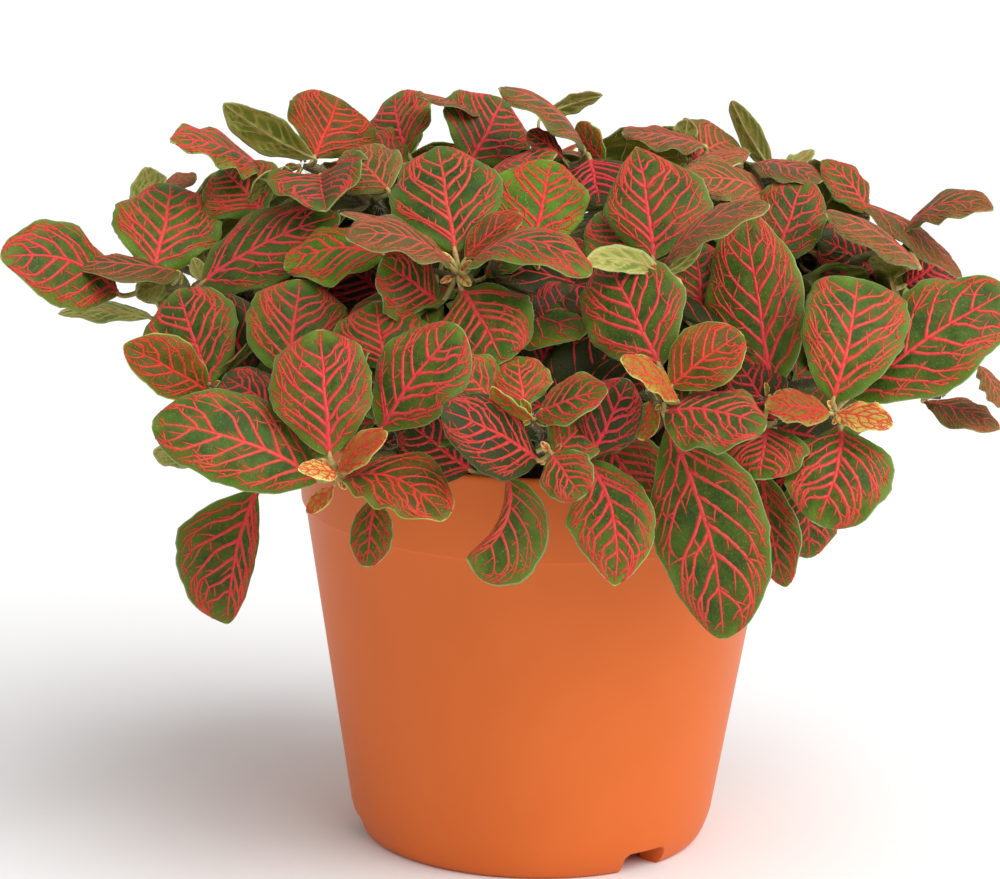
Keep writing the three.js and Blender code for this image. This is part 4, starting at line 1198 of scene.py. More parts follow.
class Blade:
    """The middle surface of a leaf's blade, as a function of u across (-1 to 1) and v along (0 to 1).

    The midrib is an arc of `curl` degrees from base to tip. `roll` turns the blade's face about the line from
    base to tip, clockwise of that line for the viewer. `fold` lifts both halves at the midrib, `camber` bends
    them back down towards the edges, `slim` takes width from the clockwise half and gives it to the other,
    and `bend` moves the middle of the midrib clockwise. The blade is widest at `belly`, and more pointed as
    `full` grows. Its margin ripples by a slow wave, its outline by short ones.
    """

    def __init__(self, stem, base, tip, width, seed, roll=0, curl=40, fold=8, camber=30, bend=0, slim=0,
                 belly=0.48, full=None, face=VIEW_BACK, look="mature", detail=3):
        rng = np.random.default_rng(seed)
        self.rng, self.seed, self.look, self.detail = rng, seed, look, DETAILS[detail]
        self.full = rng.uniform(1.0, 1.2) if full is None else full
        self.slim = rng.uniform(-0.08, 0.08) if slim == 0 else slim
        self.wedge = rng.uniform(0.15, 0.4)
        self.width, self.bend, self.belly = width, bend, belly
        chord = tip - base
        self.ahead = unit(chord)
        out = unit(face - (face @ self.ahead) * self.ahead)
        self.out = turned(out, self.ahead, math.radians(roll))
        self.side = np.cross(self.ahead, self.out)
        self.turn = math.radians(curl)
        reach = np.linalg.norm(chord)
        self.length = reach * (self.turn / 2) / math.sin(self.turn / 2)
        self.arc_radius = self.length / self.turn
        self.lift, self.droop = math.radians(fold), math.radians(camber)
        start_way = self.ahead * math.cos(self.turn / 2) + self.out * math.sin(self.turn / 2)
        self.stalk = self.plan_stalk(stem, base, start_way)
        self.base = base if self.stalk is not None else self.start
        self.ripple = rng.uniform(0.6, 1.3) * width / FULL_WIDTH
        self.ripples = rng.uniform(1.8, 3.6, 2)
        self.ripple_phase = rng.uniform(0, 1, 2)
        self.notches = rng.uniform([[1.2, 3.5, 8.0]] * 2, [[2.2, 5.0, 12.0]] * 2)
        self.notch_phase = rng.uniform(0, 1, (2, 3))
        self.pairs = min(self.detail["pairs"], round(3.4 + width / 6))

    def plan_stalk(self, stem, base, start_way):
        """The stalk's line: it leaves the nearest point of the stem's skin and bends to meet the blade."""
        line, radii = stem.line[4:], stem.radii[4:]
        if not stem.rooted:
            line, radii = stem.line, stem.radii
        nearest = np.linalg.norm(line - base, axis=1).argmin()
        way = unit(base - line[nearest])
        self.start = line[nearest] + way * (radii[nearest] + STALK_GAP)
        gap = np.linalg.norm(base - self.start)
        if gap < SHORTEST_STALK:
            return None
        inside = line[nearest] + way * radii[nearest] * 0.6
        knee = base - STALK_KNEE * gap * start_way
        return np.concatenate([[inside], bent(self.start, knee, base, STALK_STATIONS)])

    def half_width(self, v):
        """Half the width in millimetres: a rounded hump, widest at the belly, more pointed as full grows."""
        rise, fall = self.full * self.belly, self.full * (1 - self.belly)
        peak = self.belly ** rise * (1 - self.belly) ** fall
        v = np.clip(v, 0, 1)
        wedge = 1 - self.wedge * np.clip(1 - v / 0.42, 0, 1) ** 1.4
        return self.width / 2 * v ** rise * (1 - v) ** fall / peak * wedge

    def flat(self, u, v):
        """Millimetres across and along the blade when it is laid flat."""
        return u * self.half_width(v), v * self.length

    def margin(self, u, v):
        """Millimetres to the rim, either across or on to the tip."""
        return np.minimum((1 - np.abs(u)) * self.half_width(v), (1 - v) * self.length)

    def place(self, u, v):
        """Where the blade's materials read their pattern."""
        return pattern_place(*self.flat(u, v), self.seed * LEAF_PATTERN_STEP)

    def surface(self, u, v):
        """Points of the middle surface for arrays u and v of one shape."""
        slope = self.turn * (0.5 - v)
        along = self.arc_radius * (math.sin(self.turn / 2) - np.sin(slope))
        rise = self.arc_radius * (np.cos(slope) - math.cos(self.turn / 2))
        cos, sin = np.cos(slope)[..., None], np.sin(slope)[..., None]
        tangent = self.ahead * cos + self.out * sin
        normal = self.out * cos - self.ahead * sin
        yaw = np.arctan2(self.bend * 4 * (1 - 2 * v), self.length)[..., None]
        sideways = self.side * np.cos(yaw) - tangent * np.sin(yaw)
        middle = self.base + along[..., None] * self.ahead + rise[..., None] * self.out
        middle = middle + (self.bend * 4 * v * (1 - v))[..., None] * self.side
        lean = self.lift - self.droop * np.abs(u)
        x = np.sign(u) * (math.sin(self.lift) - np.sin(lean)) / self.droop
        h = (np.cos(lean) - math.cos(self.lift)) / self.droop
        half = self.half_width(v)
        hand = (u > 0).astype(int)
        wave = np.sin(2 * np.pi * (self.ripples[hand] * v + self.ripple_phase[hand]))
        height = half * h + self.ripple * np.abs(u) ** 3 * wave * np.minimum(1, half / 4)
        turns = 2 * np.pi * (self.notches[hand] * v[..., None] + self.notch_phase[hand])
        half = half * (1 + np.sin(turns) @ OUTLINE_WAVES) * (1 - self.slim * np.sign(u))
        return middle + (half * x)[..., None] * sideways + height[..., None] * normal


class Net:
    """A leaf's veins as paths in u and v, with half widths in millimetres.

    main is the midrib, side the side veins, and fine their forks and the twigs. A side vein leaves the midrib
    at a slant and bends a little towards the tip on its way to the rim. Near its middle it forks. Twigs leave
    alternate sides of every larger vein at a slant and bend towards the tip. Some reach the next vein, and
    the rest end in the green between.
    """

    def __init__(self, blade):
        self.blade = blade
        self.rng = blade.rng
        self.scale = (blade.width / FULL_WIDTH) ** 0.55
        self.plan_side_veins()
        self.main = self.midrib()
        self.side = self.side_paths()
        self.fine = [self.forks()] if blade.detail["fork"] else []
        larger = zip([self.side, self.main, *self.fine], blade.detail["twigs"])
        self.fine += [self.twigs(paths, count) for paths, count in larger if count]

    def plan_side_veins(self):
        """Draws where each side vein starts and ends along the leaf, and how far across it reaches."""
        rng, count = self.rng, self.blade.pairs
        self.climb = 0.39 * rng.uniform(0.88, 1.12) * (self.blade.width / self.blade.length / 0.58) ** 0.5
        self.starts, self.ends, self.reaches = {}, {}, {}
        for hand in (-1, 1):
            step = np.arange(count) / (count - 1)
            start = 0.02 + 0.73 * step ** 1.2 + rng.normal(0, 0.014, count)
            start = start + (0.035 if hand > 0 else 0.0) * np.sin(np.pi * step)
            start = np.clip(start, 0.012, 0.86)
            end = start + self.climb * np.sin(np.pi * (0.2 + 0.76 * start)) * rng.uniform(0.88, 1.12, count)
            self.starts[hand] = start
            self.ends[hand] = np.minimum(end, 0.955 - 0.012 * (count - 1 - np.arange(count)))
            reach = 0.9 - 0.16 * smooth_step(start, 0.45, 0.85)
            self.reaches[hand] = reach * rng.uniform(0.95, 1.02, count)

    def side_vein(self, hand, k, t):
        """Side vein k in shares: across by half a straight line and half a quarter sine, and evenly along."""
        t = np.clip(t, 0, 1)
        u = self.reaches[hand][k] * (0.5 * t + 0.5 * np.sin(np.pi / 2 * t))
        v = self.starts[hand][k] + (self.ends[hand][k] - self.starts[hand][k]) * t
        return u, v

    def wiggled(self, u, v, size):
        """Moves each path by slow waves that vanish at its ends, of the given size in millimetres."""
        t = np.linspace(0, 1, u.shape[-1])
        phase = self.rng.uniform(0, 2 * np.pi, (*u.shape[:-1], 1))
        pitch = self.rng.uniform(1.2, 2.6, (*u.shape[:-1], 1))
        wave = np.sin(2 * np.pi * pitch * t + phase) * np.sin(np.pi * t) ** 0.5 * size
        half = np.maximum(self.blade.half_width(v), 2.0)
        return u + 0.7 * wave / half, v - 0.7 * wave / self.blade.length

    def midrib(self):
        """One path along the middle, which thins towards the tip."""
        t = np.linspace(0, 1, self.blade.detail["main"])[None]
        u, v = self.wiggled(0 * t, 0.004 + 0.966 * t, 0.22 * self.scale)
        half = self.scale * (1.0 - 0.82 * t ** 0.85)
        return u, v, half, 0.02 + 0.3 * t

    def side_paths(self):
        """All side veins. Each starts with a thick foot and thins towards the rim."""
        us, vs, halves, orders = [], [], [], []
        t = np.linspace(0, 1, self.blade.detail["side"])
        for hand in (-1, 1):
            for k in range(self.blade.pairs):
                u, v = self.side_vein(hand, k, t)
                us.append(u * hand)
                vs.append(v)
                size = self.rng.uniform(0.85, 1.1) if 0 < k < self.blade.pairs - 1 else 0.75
                halves.append(self.scale * size * (0.5 - 0.27 * t) * (1 + 0.35 * np.exp(-t / 0.05)))
                orders.append(0.2 + 0.45 * t)
        u, v = self.wiggled(np.array(us), np.array(vs), 0.42 * self.scale)
        return u, v, np.array(halves), np.array(orders)

    def forks(self):
        """Each side vein's upper branch, to a point on the rim between it and the next side vein."""
        us, vs = [], []
        t = np.linspace(0, 1, self.blade.detail["fork"])
        for hand in (-1, 1):
            for k in range(self.blade.pairs - 1):
                u0, v0 = self.side_vein(hand, k, self.rng.uniform(0.4, 0.7))
                u1 = min(VEIN_LIMIT, self.reaches[hand][k] + 0.03)
                v1 = min(self.ends[hand][k] + self.rng.uniform(0.05, 0.1), 0.965)
                us.append(hand * (u0 + (u1 - u0) * t))
                vs.append(v0 + (v1 - v0) * (1.35 * t - 0.35 * t * t))
        u, v = self.wiggled(np.array(us), np.array(vs), 0.2 * self.scale)
        half = self.scale * (0.33 - 0.13 * t)
        return u, v, np.broadcast_to(half, u.shape), np.broadcast_to(0.45 + 0.4 * t, u.shape)

    def twigs(self, paths, count):
        """Up to this many twigs on each path, fewer on a short one.

        A twig that would cross the midrib or the rim is cut short.
        """
        rng, blade = self.rng, self.blade
        line = np.stack(blade.flat(*paths[:2]), -1)
        reach = np.linalg.norm(np.diff(line, axis=1), axis=-1).sum(1)
        number, steps = line.shape[:2]
        at = 0.2 + 0.8 * (np.arange(count) + rng.uniform(0.1, 0.85, (number, count))) / count
        at = at * (steps - 1)
        low = np.minimum(at.astype(int), steps - 2)
        part = (at - low)[..., None]
        row = np.arange(number)[:, None]
        spot = (1 - part) * line[row, low] + part * line[row, low + 1]
        ahead = line[row, low + 1] - line[row, low]
        ahead = ahead / np.maximum(np.linalg.norm(ahead, axis=-1, keepdims=True), 1e-6)
        hand = np.where((np.arange(count) + rng.integers(0, 2, (number, 1))) % 2, 1, -1)
        keep = rng.uniform(0, 1, hand.shape) < 0.1 + reach[:, None] / reach.max()
        spot, ahead, hand = spot[keep], ahead[keep], hand[keep]
        turn = np.radians(rng.uniform(38, 66, len(hand))) * hand
        way = np.stack([ahead[:, 0] * np.cos(turn) - ahead[:, 1] * np.sin(turn),
                        ahead[:, 0] * np.sin(turn) + ahead[:, 1] * np.cos(turn)], -1)
        between = 0.56 * blade.length / blade.pairs
        through = rng.uniform(0, 1, len(hand)) < 0.35
        long = np.where(through, 1.15, rng.uniform(0.45, 0.85, len(hand))) * between
        t = np.linspace(0, 1, blade.detail["twig"])

        def shares(size):
            """The twigs in shares of the blade, for these lengths in millimetres."""
            path = spot[:, None] + size[:, None, None] * t[:, None] * way[:, None]
            path[..., 1] += 0.3 * size[:, None] * t ** 2
            high = np.clip(path[..., 1] / blade.length, 0.015, 0.975)
            return path[..., 0] / np.maximum(blade.half_width(high), 0.1), high

        u, v = shares(long)
        first, last = np.abs(u[:, 0]), np.abs(u[:, -1])
        room = np.clip((VEIN_LIMIT - first) / np.maximum(last - first, 1e-6), 0.1, 1)
        crossing = (u[:, 0] * u[:, -1] < 0) & (first > 0.02)
        room = np.where(last > VEIN_LIMIT, room, np.where(crossing, 0.85 * first / (first + last), 1))
        u, v = shares(long * room)
        u, v = self.wiggled(np.clip(u, -0.94, 0.94), v, 0.12 * self.scale)
        half = self.scale * rng.uniform(0.2, 0.28, (len(u), 1)) * (1.2 - 0.5 * t) * np.sqrt(1 - 0.7 * t ** 8)
        return u, v, half, np.broadcast_to(0.6 + 0.4 * t, u.shape)

    def samples(self, groups, extra=3):
        """Points in millimetres, (x, y), along the paths of these groups, closer than the paths' own."""
        spots = []
        for u, v, *_ in groups:
            steps = u.shape[1]
            at = np.linspace(0, steps - 1, (steps - 1) * extra + 1)
            low = np.minimum(at.astype(int), steps - 2)
            part = at - low
            u = u[:, low] * (1 - part) + u[:, low + 1] * part
            v = v[:, low] * (1 - part) + v[:, low + 1] * part
            spots.append(np.stack(self.blade.flat(u, v), -1).reshape(-1, 2))
        return np.concatenate(spots)


def nearest_gap(spots, x, y):
    """Distance in millimetres from each (x, y) to the nearest spot."""
    grid = np.stack([x.ravel(), y.ravel()], -1)
    square = (grid ** 2).sum(-1)[:, None] + (spots ** 2).sum(-1)[None] - 2 * grid @ spots.T
    return np.sqrt(np.maximum(square.min(1), 0)).reshape(x.shape)


def across_stations(count):
    """Values of u from -1 to 1, closer together at the margins: sines of even angles."""
    s = np.linspace(-1, 1, count)
    return np.sin(s * ACROSS_SQUEEZE * np.pi / 2) / math.sin(ACROSS_SQUEEZE * np.pi / 2)


def on_grid(grid, u, v):
    """The value at u and v of a grid of rows along and columns across, between its points."""
    rows, columns = grid.shape[:2]
    s = np.arcsin(np.clip(u, -1, 1) * math.sin(ACROSS_SQUEEZE * np.pi / 2)) / (ACROSS_SQUEEZE * np.pi / 2)
    i = np.arccos(np.clip(1 - 2 * v, -1, 1)) / np.pi * (rows - 1)
    j = (s + 1) / 2 * (columns - 1)
    i0, j0 = np.minimum(i.astype(int), rows - 2), np.minimum(j.astype(int), columns - 2)
    a, b = (i - i0)[..., None], (j - j0)[..., None]
    near = grid[i0, j0] * (1 - b) + grid[i0, j0 + 1] * b
    far = grid[i0 + 1, j0] * (1 - b) + grid[i0 + 1, j0 + 1] * b
    return near * (1 - a) + far * a


def grid_normals(grid):
    """Unit normals of a grid whose first and last rows each meet in one point."""
    along = np.gradient(grid, axis=0)
    across = np.gradient(grid, axis=1)
    across[0], across[-1] = across[1], across[-2]
    normal = np.cross(across, along)
    return normal / np.maximum(np.linalg.norm(normal, axis=-1, keepdims=True), 1e-9)


def add_leaf(shell, blade, settings):
    """Adds a leaf: its blade as one closed skin, its veins as low ridges on it, and its stalk."""
    net = Net(blade)
    size = blade.width / FULL_WIDTH
    columns = int(np.clip(9 + 12 * size, *blade.detail["columns"])) // 2 * 2 + 1
    rows = int(np.clip(19 + 20 * blade.length / 40, *blade.detail["rows"]))
    u = across_stations(columns)
    v = 0.5 - 0.5 * np.cos(np.linspace(0, np.pi, rows))
    u, v = np.broadcast_to(u, (rows, columns)), np.repeat(v[:, None], columns, 1)
    x, y = blade.flat(u, v)
    margin = blade.margin(u, v)
    strong = nearest_gap(net.samples([net.main, net.side]), x, y)
    fine = nearest_gap(net.samples(net.fine, 2), x, y) if net.fine else strong
    quilt = (1 - np.exp(-(strong / QUILT_REACH) ** 2)) * (0.6 + 0.4 * (1 - np.exp(-(fine / FINE_REACH) ** 2)))
    quilt = quilt * smooth_step(margin, 0.0, FLAT_RIM) * settings.quilt / MM * size ** 0.5
    middle = blade.surface(u, v)
    normal = grid_normals(middle)
    middle = middle + quilt[..., None] * normal
    edge = np.sqrt(1 - np.abs(u) ** 8)[..., None]
    thick = settings.thickness / MM * (0.6 + 0.4 * size)
    top = middle + normal * edge * thick / 2
    under = middle - normal * edge * thick / 2

    ring = np.concatenate([np.arange(columns), np.arange(columns - 2, 0, -1)])
    lower = np.arange(len(ring)) >= columns
    points = np.where(lower[:, None], under[1:-1][:, ring], top[1:-1][:, ring])
    points = np.concatenate([points.reshape(-1, 3), [middle[0, 0], middle[-1, 0]]])
    count = (rows - 2) * len(ring)
    quads = tube_faces(1, rows - 2, len(ring))
    spot = np.arange(len(ring))
    after = (spot + 1) % len(ring)
    first = np.stack([np.full(len(ring), count), after, spot], -1)
    last = count - len(ring) + np.stack([np.full(len(ring), len(ring) + 1), spot, after], -1)
    side = np.where(spot < columns - 1, TOP, UNDER)

    def both(values):
        """Values of the grid at the skin's points: all round each row, then at both ends."""
        inner = values[1:-1][:, ring].reshape(-1, *values.shape[2:])
        return np.concatenate([inner, [values[0, 0], values[-1, 0]]])

    shell.add(points, [quads, first, last], [np.tile(side, rows - 3), side, side],
              place=both(blade.place(u, v)), margin=both(margin), vein=both(np.minimum(strong, fine + 0.25)))
    for kind, paths in [("main", net.main), ("side", net.side)] + [("fine", paths) for paths in net.fine]:
        add_veins(shell, blade, top, normal, thick, kind, paths)
    add_stalk(shell, blade, middle, normal, thick)


def add_veins(shell, blade, top, normal, thick, kind, paths):
    """Veins are low roofs along their paths: right foot, crest, left foot. The feet lie just inside the leaf.

    In front of these comes the keel of a larger vein, which stands out below the leaf as a rib.
    """
    u, v, half, order = paths
    centre = on_grid(top, u, v)
    out = unit(on_grid(normal, u, v))
    width = (half / ROOF_SHARE)[..., None] * unit(np.cross(tangents_of(centre), out))
    ring = [centre + width, centre + VEIN_CREST[kind] * out, centre - width]
    slots = [VEIN, VEIN, RIB]
    if kind != "fine" and blade.detail["keel"]:
        ring.insert(0, centre - (thick + RIB_DEPTH[kind]) * out)
        slots.insert(0, RIB)
    ring = np.stack(ring, 2)
    tubes, rings, sides = ring.shape[:3]
    faces = tube_faces(tubes, rings, sides)

    def spread(values):
        """Values along the paths, for each point of their rings."""
        return np.repeat(values.reshape(-1, *values.shape[2:]), sides, 0)

    shell.add(ring, [faces, end_faces(tubes, rings, sides)], [np.tile(slots, len(faces) // sides), VEIN],
              place=spread(blade.place(u, v)), margin=spread(blade.margin(u, v)), order=spread(order))


def add_stalk(shell, blade, middle, normal, thick):
    """The stalk is a round tube from the stem to the blade that runs on below the midrib and thins away."""
    v = np.array([0.02, 0.08, 0.16, 0.26])
    below = on_grid(middle, 0 * v, v) - on_grid(normal, 0 * v, v) * (thick / 2 + 0.1)
    radius = 0.68 * (blade.width / FULL_WIDTH) ** 0.5
    if blade.stalk is None:
        line = np.concatenate([[blade.start - 0.5 * (below[0] - blade.start)], below])
        radii = radius * np.array([0.9, 0.9, 0.75, 0.5, 0.15])
    else:
        line = np.concatenate([blade.stalk, below[1:]])
        radii = radius * np.concatenate([np.linspace(1.15, 0.95, len(blade.stalk)), [0.8, 0.5, 0.15]])
    step, pitch = STALK_PATTERN
    add_tube(shell, line, radii, blade.detail["around"], RIB, step, pitch * np.arange(len(line)),
             blade.seed * LEAF_PATTERN_STEP, margin=FAR_AWAY, vein=FAR_AWAY)


def leaf_materials(look):
    """A leaf's materials, in the order of its slots: TOP, UNDER, VEIN and RIB."""
    return [
        shared(f"{look}_blade", blade_paint, look_of(look)),
        shared("leaf_underside", underside_paint),
        shared(f"{look}_vein", vein_paint, look_of(look)),
        shared("leaf_rib", rib_paint),
    ]


def make_leaf(name, blade, settings):
    """One leaf as a piece, which stands for the node of its name if the frame has one."""
    shell = Shell(LEAF_FIELDS)
    add_leaf(shell, blade, settings)
    nodes = [name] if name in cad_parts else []
    piece = shell.piece(f"{name}_blade" if nodes else name, leaf_materials(blade.look))
    finish_piece(piece, "leaf", *nodes)


def build_seen_leaves(settings):
    """The leaves that the view shows, each from its own row of the table."""
    stems = plan_stems()
    for index, (stem, number, base, tip, width, options) in enumerate(LEAVES):
        seed = SEEN_LEAF_SEED + index
        blade = Blade(stems[stem], seen_at(*base), seen_at(*tip), width, seed, **options)
        make_leaf(f"leaf_{stem}_{number}", blade, settings)


def build_rear_leaves(settings):
    """Three leaves round each rear stem's tip, facing away from the middle of the mound."""
    stems = plan_stems()
    for order, name in enumerate(REAR_STEMS):
        stem = stems[name]
        outwards = unit(stem.tip - MOUND_CENTRE)
        level, upwards = level_frame(outwards)
        for i, turn in enumerate(REAR_LEAF_TURNS):
            way = swung(level, upwards, turn)
            base = stem.tip + REAR_LEAF_STEP * way + outwards
            tip = base + REAR_LEAF_LENGTH * way + REAR_LEAF_RISE * outwards
            seed = REAR_LEAF_SEED + 3 * order + i
            blade = Blade(stem, base, tip, REAR_LEAF_WIDTH, seed, face=outwards, detail=2)
            make_leaf(f"leaf_{name}_{i + 1}", blade, settings)


def drawn(rng, shape):
    """A blade's options, each drawn from its own range."""
    return {name: rng.uniform(*limits) for name, limits in shape.items()}


def tuft_leaves(stem, first_turn, length, rng):
    """Opposite pairs of leaves round a tip, each pair a quarter turn on from the last and smaller."""
    outwards = unit(unit(stem.tip - MOUND_CENTRE) + 0.25 * stem.tip_way)
    level, upwards = level_frame(outwards)
    for pair, (scale, behind, rises, look) in enumerate(TUFT_PAIRS):
        for half_turn in (0, 180):
            way = swung(level, upwards, first_turn + 90 * pair + half_turn + rng.uniform(-14, 14))
            base = stem.tip + way * (2.5 + 2 * scale) - outwards * behind
            reach = length * scale * rng.uniform(*TUFT_LENGTH_SHARE)
            tip = base + reach * unit(way + rng.uniform(*rises) * outwards - TUFT_DROP * UP)
            yield base, tip, reach * rng.uniform(*TUFT_WIDTH_SHARE), outwards, look


def build_tuft_leaves(settings):
    """Tufts of leaves over the back and the sides of the mound."""
    stems = plan_stems()
    for order, (name, first_turn, length) in enumerate(TUFTS):
        rng = np.random.default_rng(TUFT_SEED + order)
        leaves = tuft_leaves(stems[name], first_turn, length, rng)
        for i, (base, tip, width, face, look) in enumerate(leaves):
            seed = TUFT_LEAF_SEED + 10 * order + i
            blade = Blade(stems[name], base, tip, width, seed, face=face, look=look, detail=2,
                          **drawn(rng, TUFT_SHAPE))
            if fits_inside(blade, mound=False):
                make_leaf(f"leaf_{name}_{i + 1}", blade, settings)


def inside_outline(points):
    """True where points are seen inside the foliage's outline: with an odd count of edges to their right."""
    column, row = seen_from_eye(points)
    start = np.array(OUTLINE, float)
    end = np.roll(start, -1, axis=0)
    spans = (start[:, 1] > row[:, None]) != (end[:, 1] > row[:, None])
    with np.errstate(divide="ignore", invalid="ignore"):
        share = (row[:, None] - start[:, 1]) / (end[:, 1] - start[:, 1])
    crossing = start[:, 0] + share * (end[:, 0] - start[:, 0])
    return (spans & (column[:, None] < crossing)).sum(1) % 2 == 1


def fits_inside(blade, mound=True):
    """True if a blade's rim lies in the foliage's outline, and in the inner mound above the pot's rim."""
    v = np.tile(np.linspace(0.15, 1, 6), 2)
    rim = blade.surface(np.repeat([-1.0, 1.0], 6), v)
    if not inside_outline(rim).all():
        return False
    if not mound:
        return True
    centre, half = INNER_MOUND
    return bool((((rim - centre) / half) ** 2).sum(1).max() < 1 and rim[:, 2].min() > LOWEST_INNER_LEAF)


def build_buds(settings):
    """A bud is two crossed pairs of small upright leaves round a stem's tip, among fine hairs."""
    stems = plan_stems()
    for order, (name, length, look) in enumerate(BUDS):
        rng = np.random.default_rng(BUD_SEED + order)
        stem = stems[name]
        ahead = unit(stem.tip_way + 0.8 * VIEW_BACK + 0.3 * UP)
        level, other = level_frame(ahead)
        shell = Shell(LEAF_FIELDS)
        for i in range(4):
            way = swung(level, other, 90 * i + 45 + rng.uniform(-20, 20))
            size = (1.0 if i % 2 else 0.7) * length
            base = stem.tip + 0.9 * way + 0.3 * ahead
            tip = base + size * unit(way + rng.uniform(0.4, 1.0) * ahead)
            blade = Blade(stem, base, tip, 0.5 * size, BUD_LEAF_SEED + 10 * order + i, face=ahead, fold=25,
                          look=look, detail=0)
            add_leaf(shell, blade, settings)
        out = unit(rng.normal(size=(BUD_HAIRS, 3)) + 0.5 * ahead)
        roots = stem.tip - stem.tip_way * rng.uniform(0, 5, (BUD_HAIRS, 1)) + out * 0.9
        points, faces = hairs(roots, out, rng.uniform(*BUD_HAIR_LENGTHS, BUD_HAIRS))
        shell.add(points, [faces], [HAIR], place=points, margin=FAR_AWAY, vein=FAR_AWAY)
        pale = shared("pale_hair", hair_paint)
        finish_piece(shell.piece(f"bud_{name}", leaf_materials(look) + [pale]), "leaf")


def build_inner_leaves(settings):
    """Pairs of leaves at the nodes behind each tip, every pair a quarter turn on from the next.

    A leaf leaves its stem sideways and turns its face to the light, which comes from above and from outside.
    """
    for order, stem in enumerate(plan_stems().values()):
        rng = np.random.default_rng(INNER_SEED + order)
        steps = np.linalg.norm(np.diff(stem.line, axis=0), axis=1)
        from_tip = np.concatenate([np.cumsum(steps[::-1])[::-1], [0]])
        number = 0
        for node, distance in enumerate(NODE_STEPS["stem" if stem.rooted else "shoot"]):
            at = int(np.abs(from_tip - distance * rng.uniform(0.9, 1.1)).argmin())
            spot = stem.line[at]
            if at < 3 or spot[2] < LOWEST_INNER_NODE:
                continue
            way = unit(stem.line[at + 1] - stem.line[at - 1])
            outwards = unit(spot - MOUND_CENTRE)
            level = unit(np.cross(way, outwards))
            side = swung(level, np.cross(level, way), 90 * node + rng.uniform(-20, 20))
            for hand in (1, -1):
                aim = hand * side
                if aim @ outwards < -0.5:
                    continue
                aim = unit(aim + 0.25 * way + 0.1 * outwards)
                base = spot + aim * (stem.radii[at] + 3.2)
                reach = rng.uniform(*INNER_LEAF_LENGTH)
                face = 0.3 * way + outwards + 0.5 * UP
                options = drawn(rng, INNER_SHAPE)
                for share in (1.0, 0.75):
                    tip = base + share * reach * unit(aim - INNER_LEAF_DROP * UP)
                    width = share * reach * rng.uniform(*INNER_WIDTH_SHARE)
                    # Most inner leaves take the dark look: painted shade for the inside of the mound
                    look = "mature" if rng.uniform() < MATURE_SHARE else "dark"
                    seed = INNER_LEAF_SEED + 10 * order + number
                    blade = Blade(stem, base, tip, width, seed, face=face, look=look, detail=1, **options)
                    if fits_inside(blade):
                        number += 1
                        make_leaf(f"leaf_{stem.name}_inner_{number}", blade, settings)
                        break


# Stage

def build_stage(settings):
    """A pale floor, a white sky, two large soft lights and the camera of the measured view."""
    scene = bpy.context.scene
    angle = np.linspace(0, 2 * np.pi, FLOOR_SIDES, endpoint=False)
    rim = np.stack([np.cos(angle), np.sin(angle), 0 * angle], -1) * FLOOR_RADIUS
    shell = Shell()
    shell.add(rim, [np.arange(FLOOR_SIDES)[None]], [0])
    shell.piece("studio_floor", [shared("studio_floor", floor_paint)])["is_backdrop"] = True

    world = bpy.data.worlds.new("white_studio")
    world.use_nodes = True
    sky = world.node_tree.nodes["Background"].inputs
    sky["Color"].default_value = (1, 1, 1, 1)
    sky["Strength"].default_value = settings.sky
    scene.world = world
    sun = bpy.data.lights.new("soft_sun", "SUN")
    sun.energy = settings.sun
    sun.angle = SUN_SPREAD
    aim_light(sun, SUN_PLACE, SUN_TARGET)
    panel = bpy.data.lights.new("side_panel", "AREA")
    panel.size = PANEL_SIZE
    panel.energy = settings.panel_power
    aim_light(panel, PANEL_PLACE, PANEL_TARGET)
    scene.view_settings.view_transform = "Standard"

    data = bpy.data.cameras.new("view_camera")
    data.sensor_width = SENSOR_WIDTH
    data.lens = VIEW_FOCAL * data.sensor_width / PICTURE[0]
    data.clip_start, data.clip_end = CLIP_START, CLIP_END
    right = VIEW_RIGHT * math.cos(VIEW_ROLL) + VIEW_UP * math.sin(VIEW_ROLL)
    upright = VIEW_UP * math.cos(VIEW_ROLL) - VIEW_RIGHT * math.sin(VIEW_ROLL)
    scene.camera = set_up(data, right, upright, VIEW_BACK, EYE * MM)


def aim_light(data, place, target):
    """A light of this data at a place, in metres, that faces its target."""
    back = unit(np.array(place) - np.array(target))
    right = unit(np.cross(UP, back))
    set_up(data, right, np.cross(back, right), back, place)


def set_up(data, right, upright, back, place):
    """An object of this data at a place, in metres, with its three axes along the given unit vectors."""
    item = bpy.data.objects.new(data.name, data)
    bpy.context.scene.collection.objects.link(item)
    pose = np.eye(4)
    pose[:3] = np.stack([right, upright, back, place], -1)
    item.matrix_world = Matrix(pose.tolist())
    return item


# Add-on

class PotSettings(bpy.types.PropertyGroup):
    """What a user would change about the pot."""
    colour: bpy.props.FloatVectorProperty(name="Colour", description="Colour of the plastic", subtype="COLOR",
                                          size=3, default=colour(212, 102, 34)[:3], min=0, max=1)
    roughness: bpy.props.FloatProperty(name="Roughness", description="How dull the plastic is", default=0.42,
                                       min=0, max=1, subtype="FACTOR")
    band_step: bpy.props.FloatProperty(name="Band step", description="How far the rim band stands proud",
                                       default=BAND_STEP * MM, unit="LENGTH")
    sides: bpy.props.IntProperty(name="Sides", description="Steps around the pot", default=200, min=48)


class SoilSettings(bpy.types.PropertyGroup):
    """What a user would change about the soil."""
    roughness: bpy.props.FloatProperty(name="Roughness", description="Height of the surface's lumps",
                                       default=0.0008, unit="LENGTH")
    crumbs: bpy.props.IntProperty(name="Crumbs", description="Number of loose peat crumbs", default=260)
    grains: bpy.props.IntProperty(name="Grains", description="Number of white perlite grains", default=90)


class StemSettings(bpy.types.PropertyGroup):
    """What a user would change about the stems."""
    sides: bpy.props.IntProperty(name="Sides", description="Sides of a stem's tube", default=12, min=5)
    hairs: bpy.props.IntProperty(name="Hairs", description="Hairs on each stem", default=120)


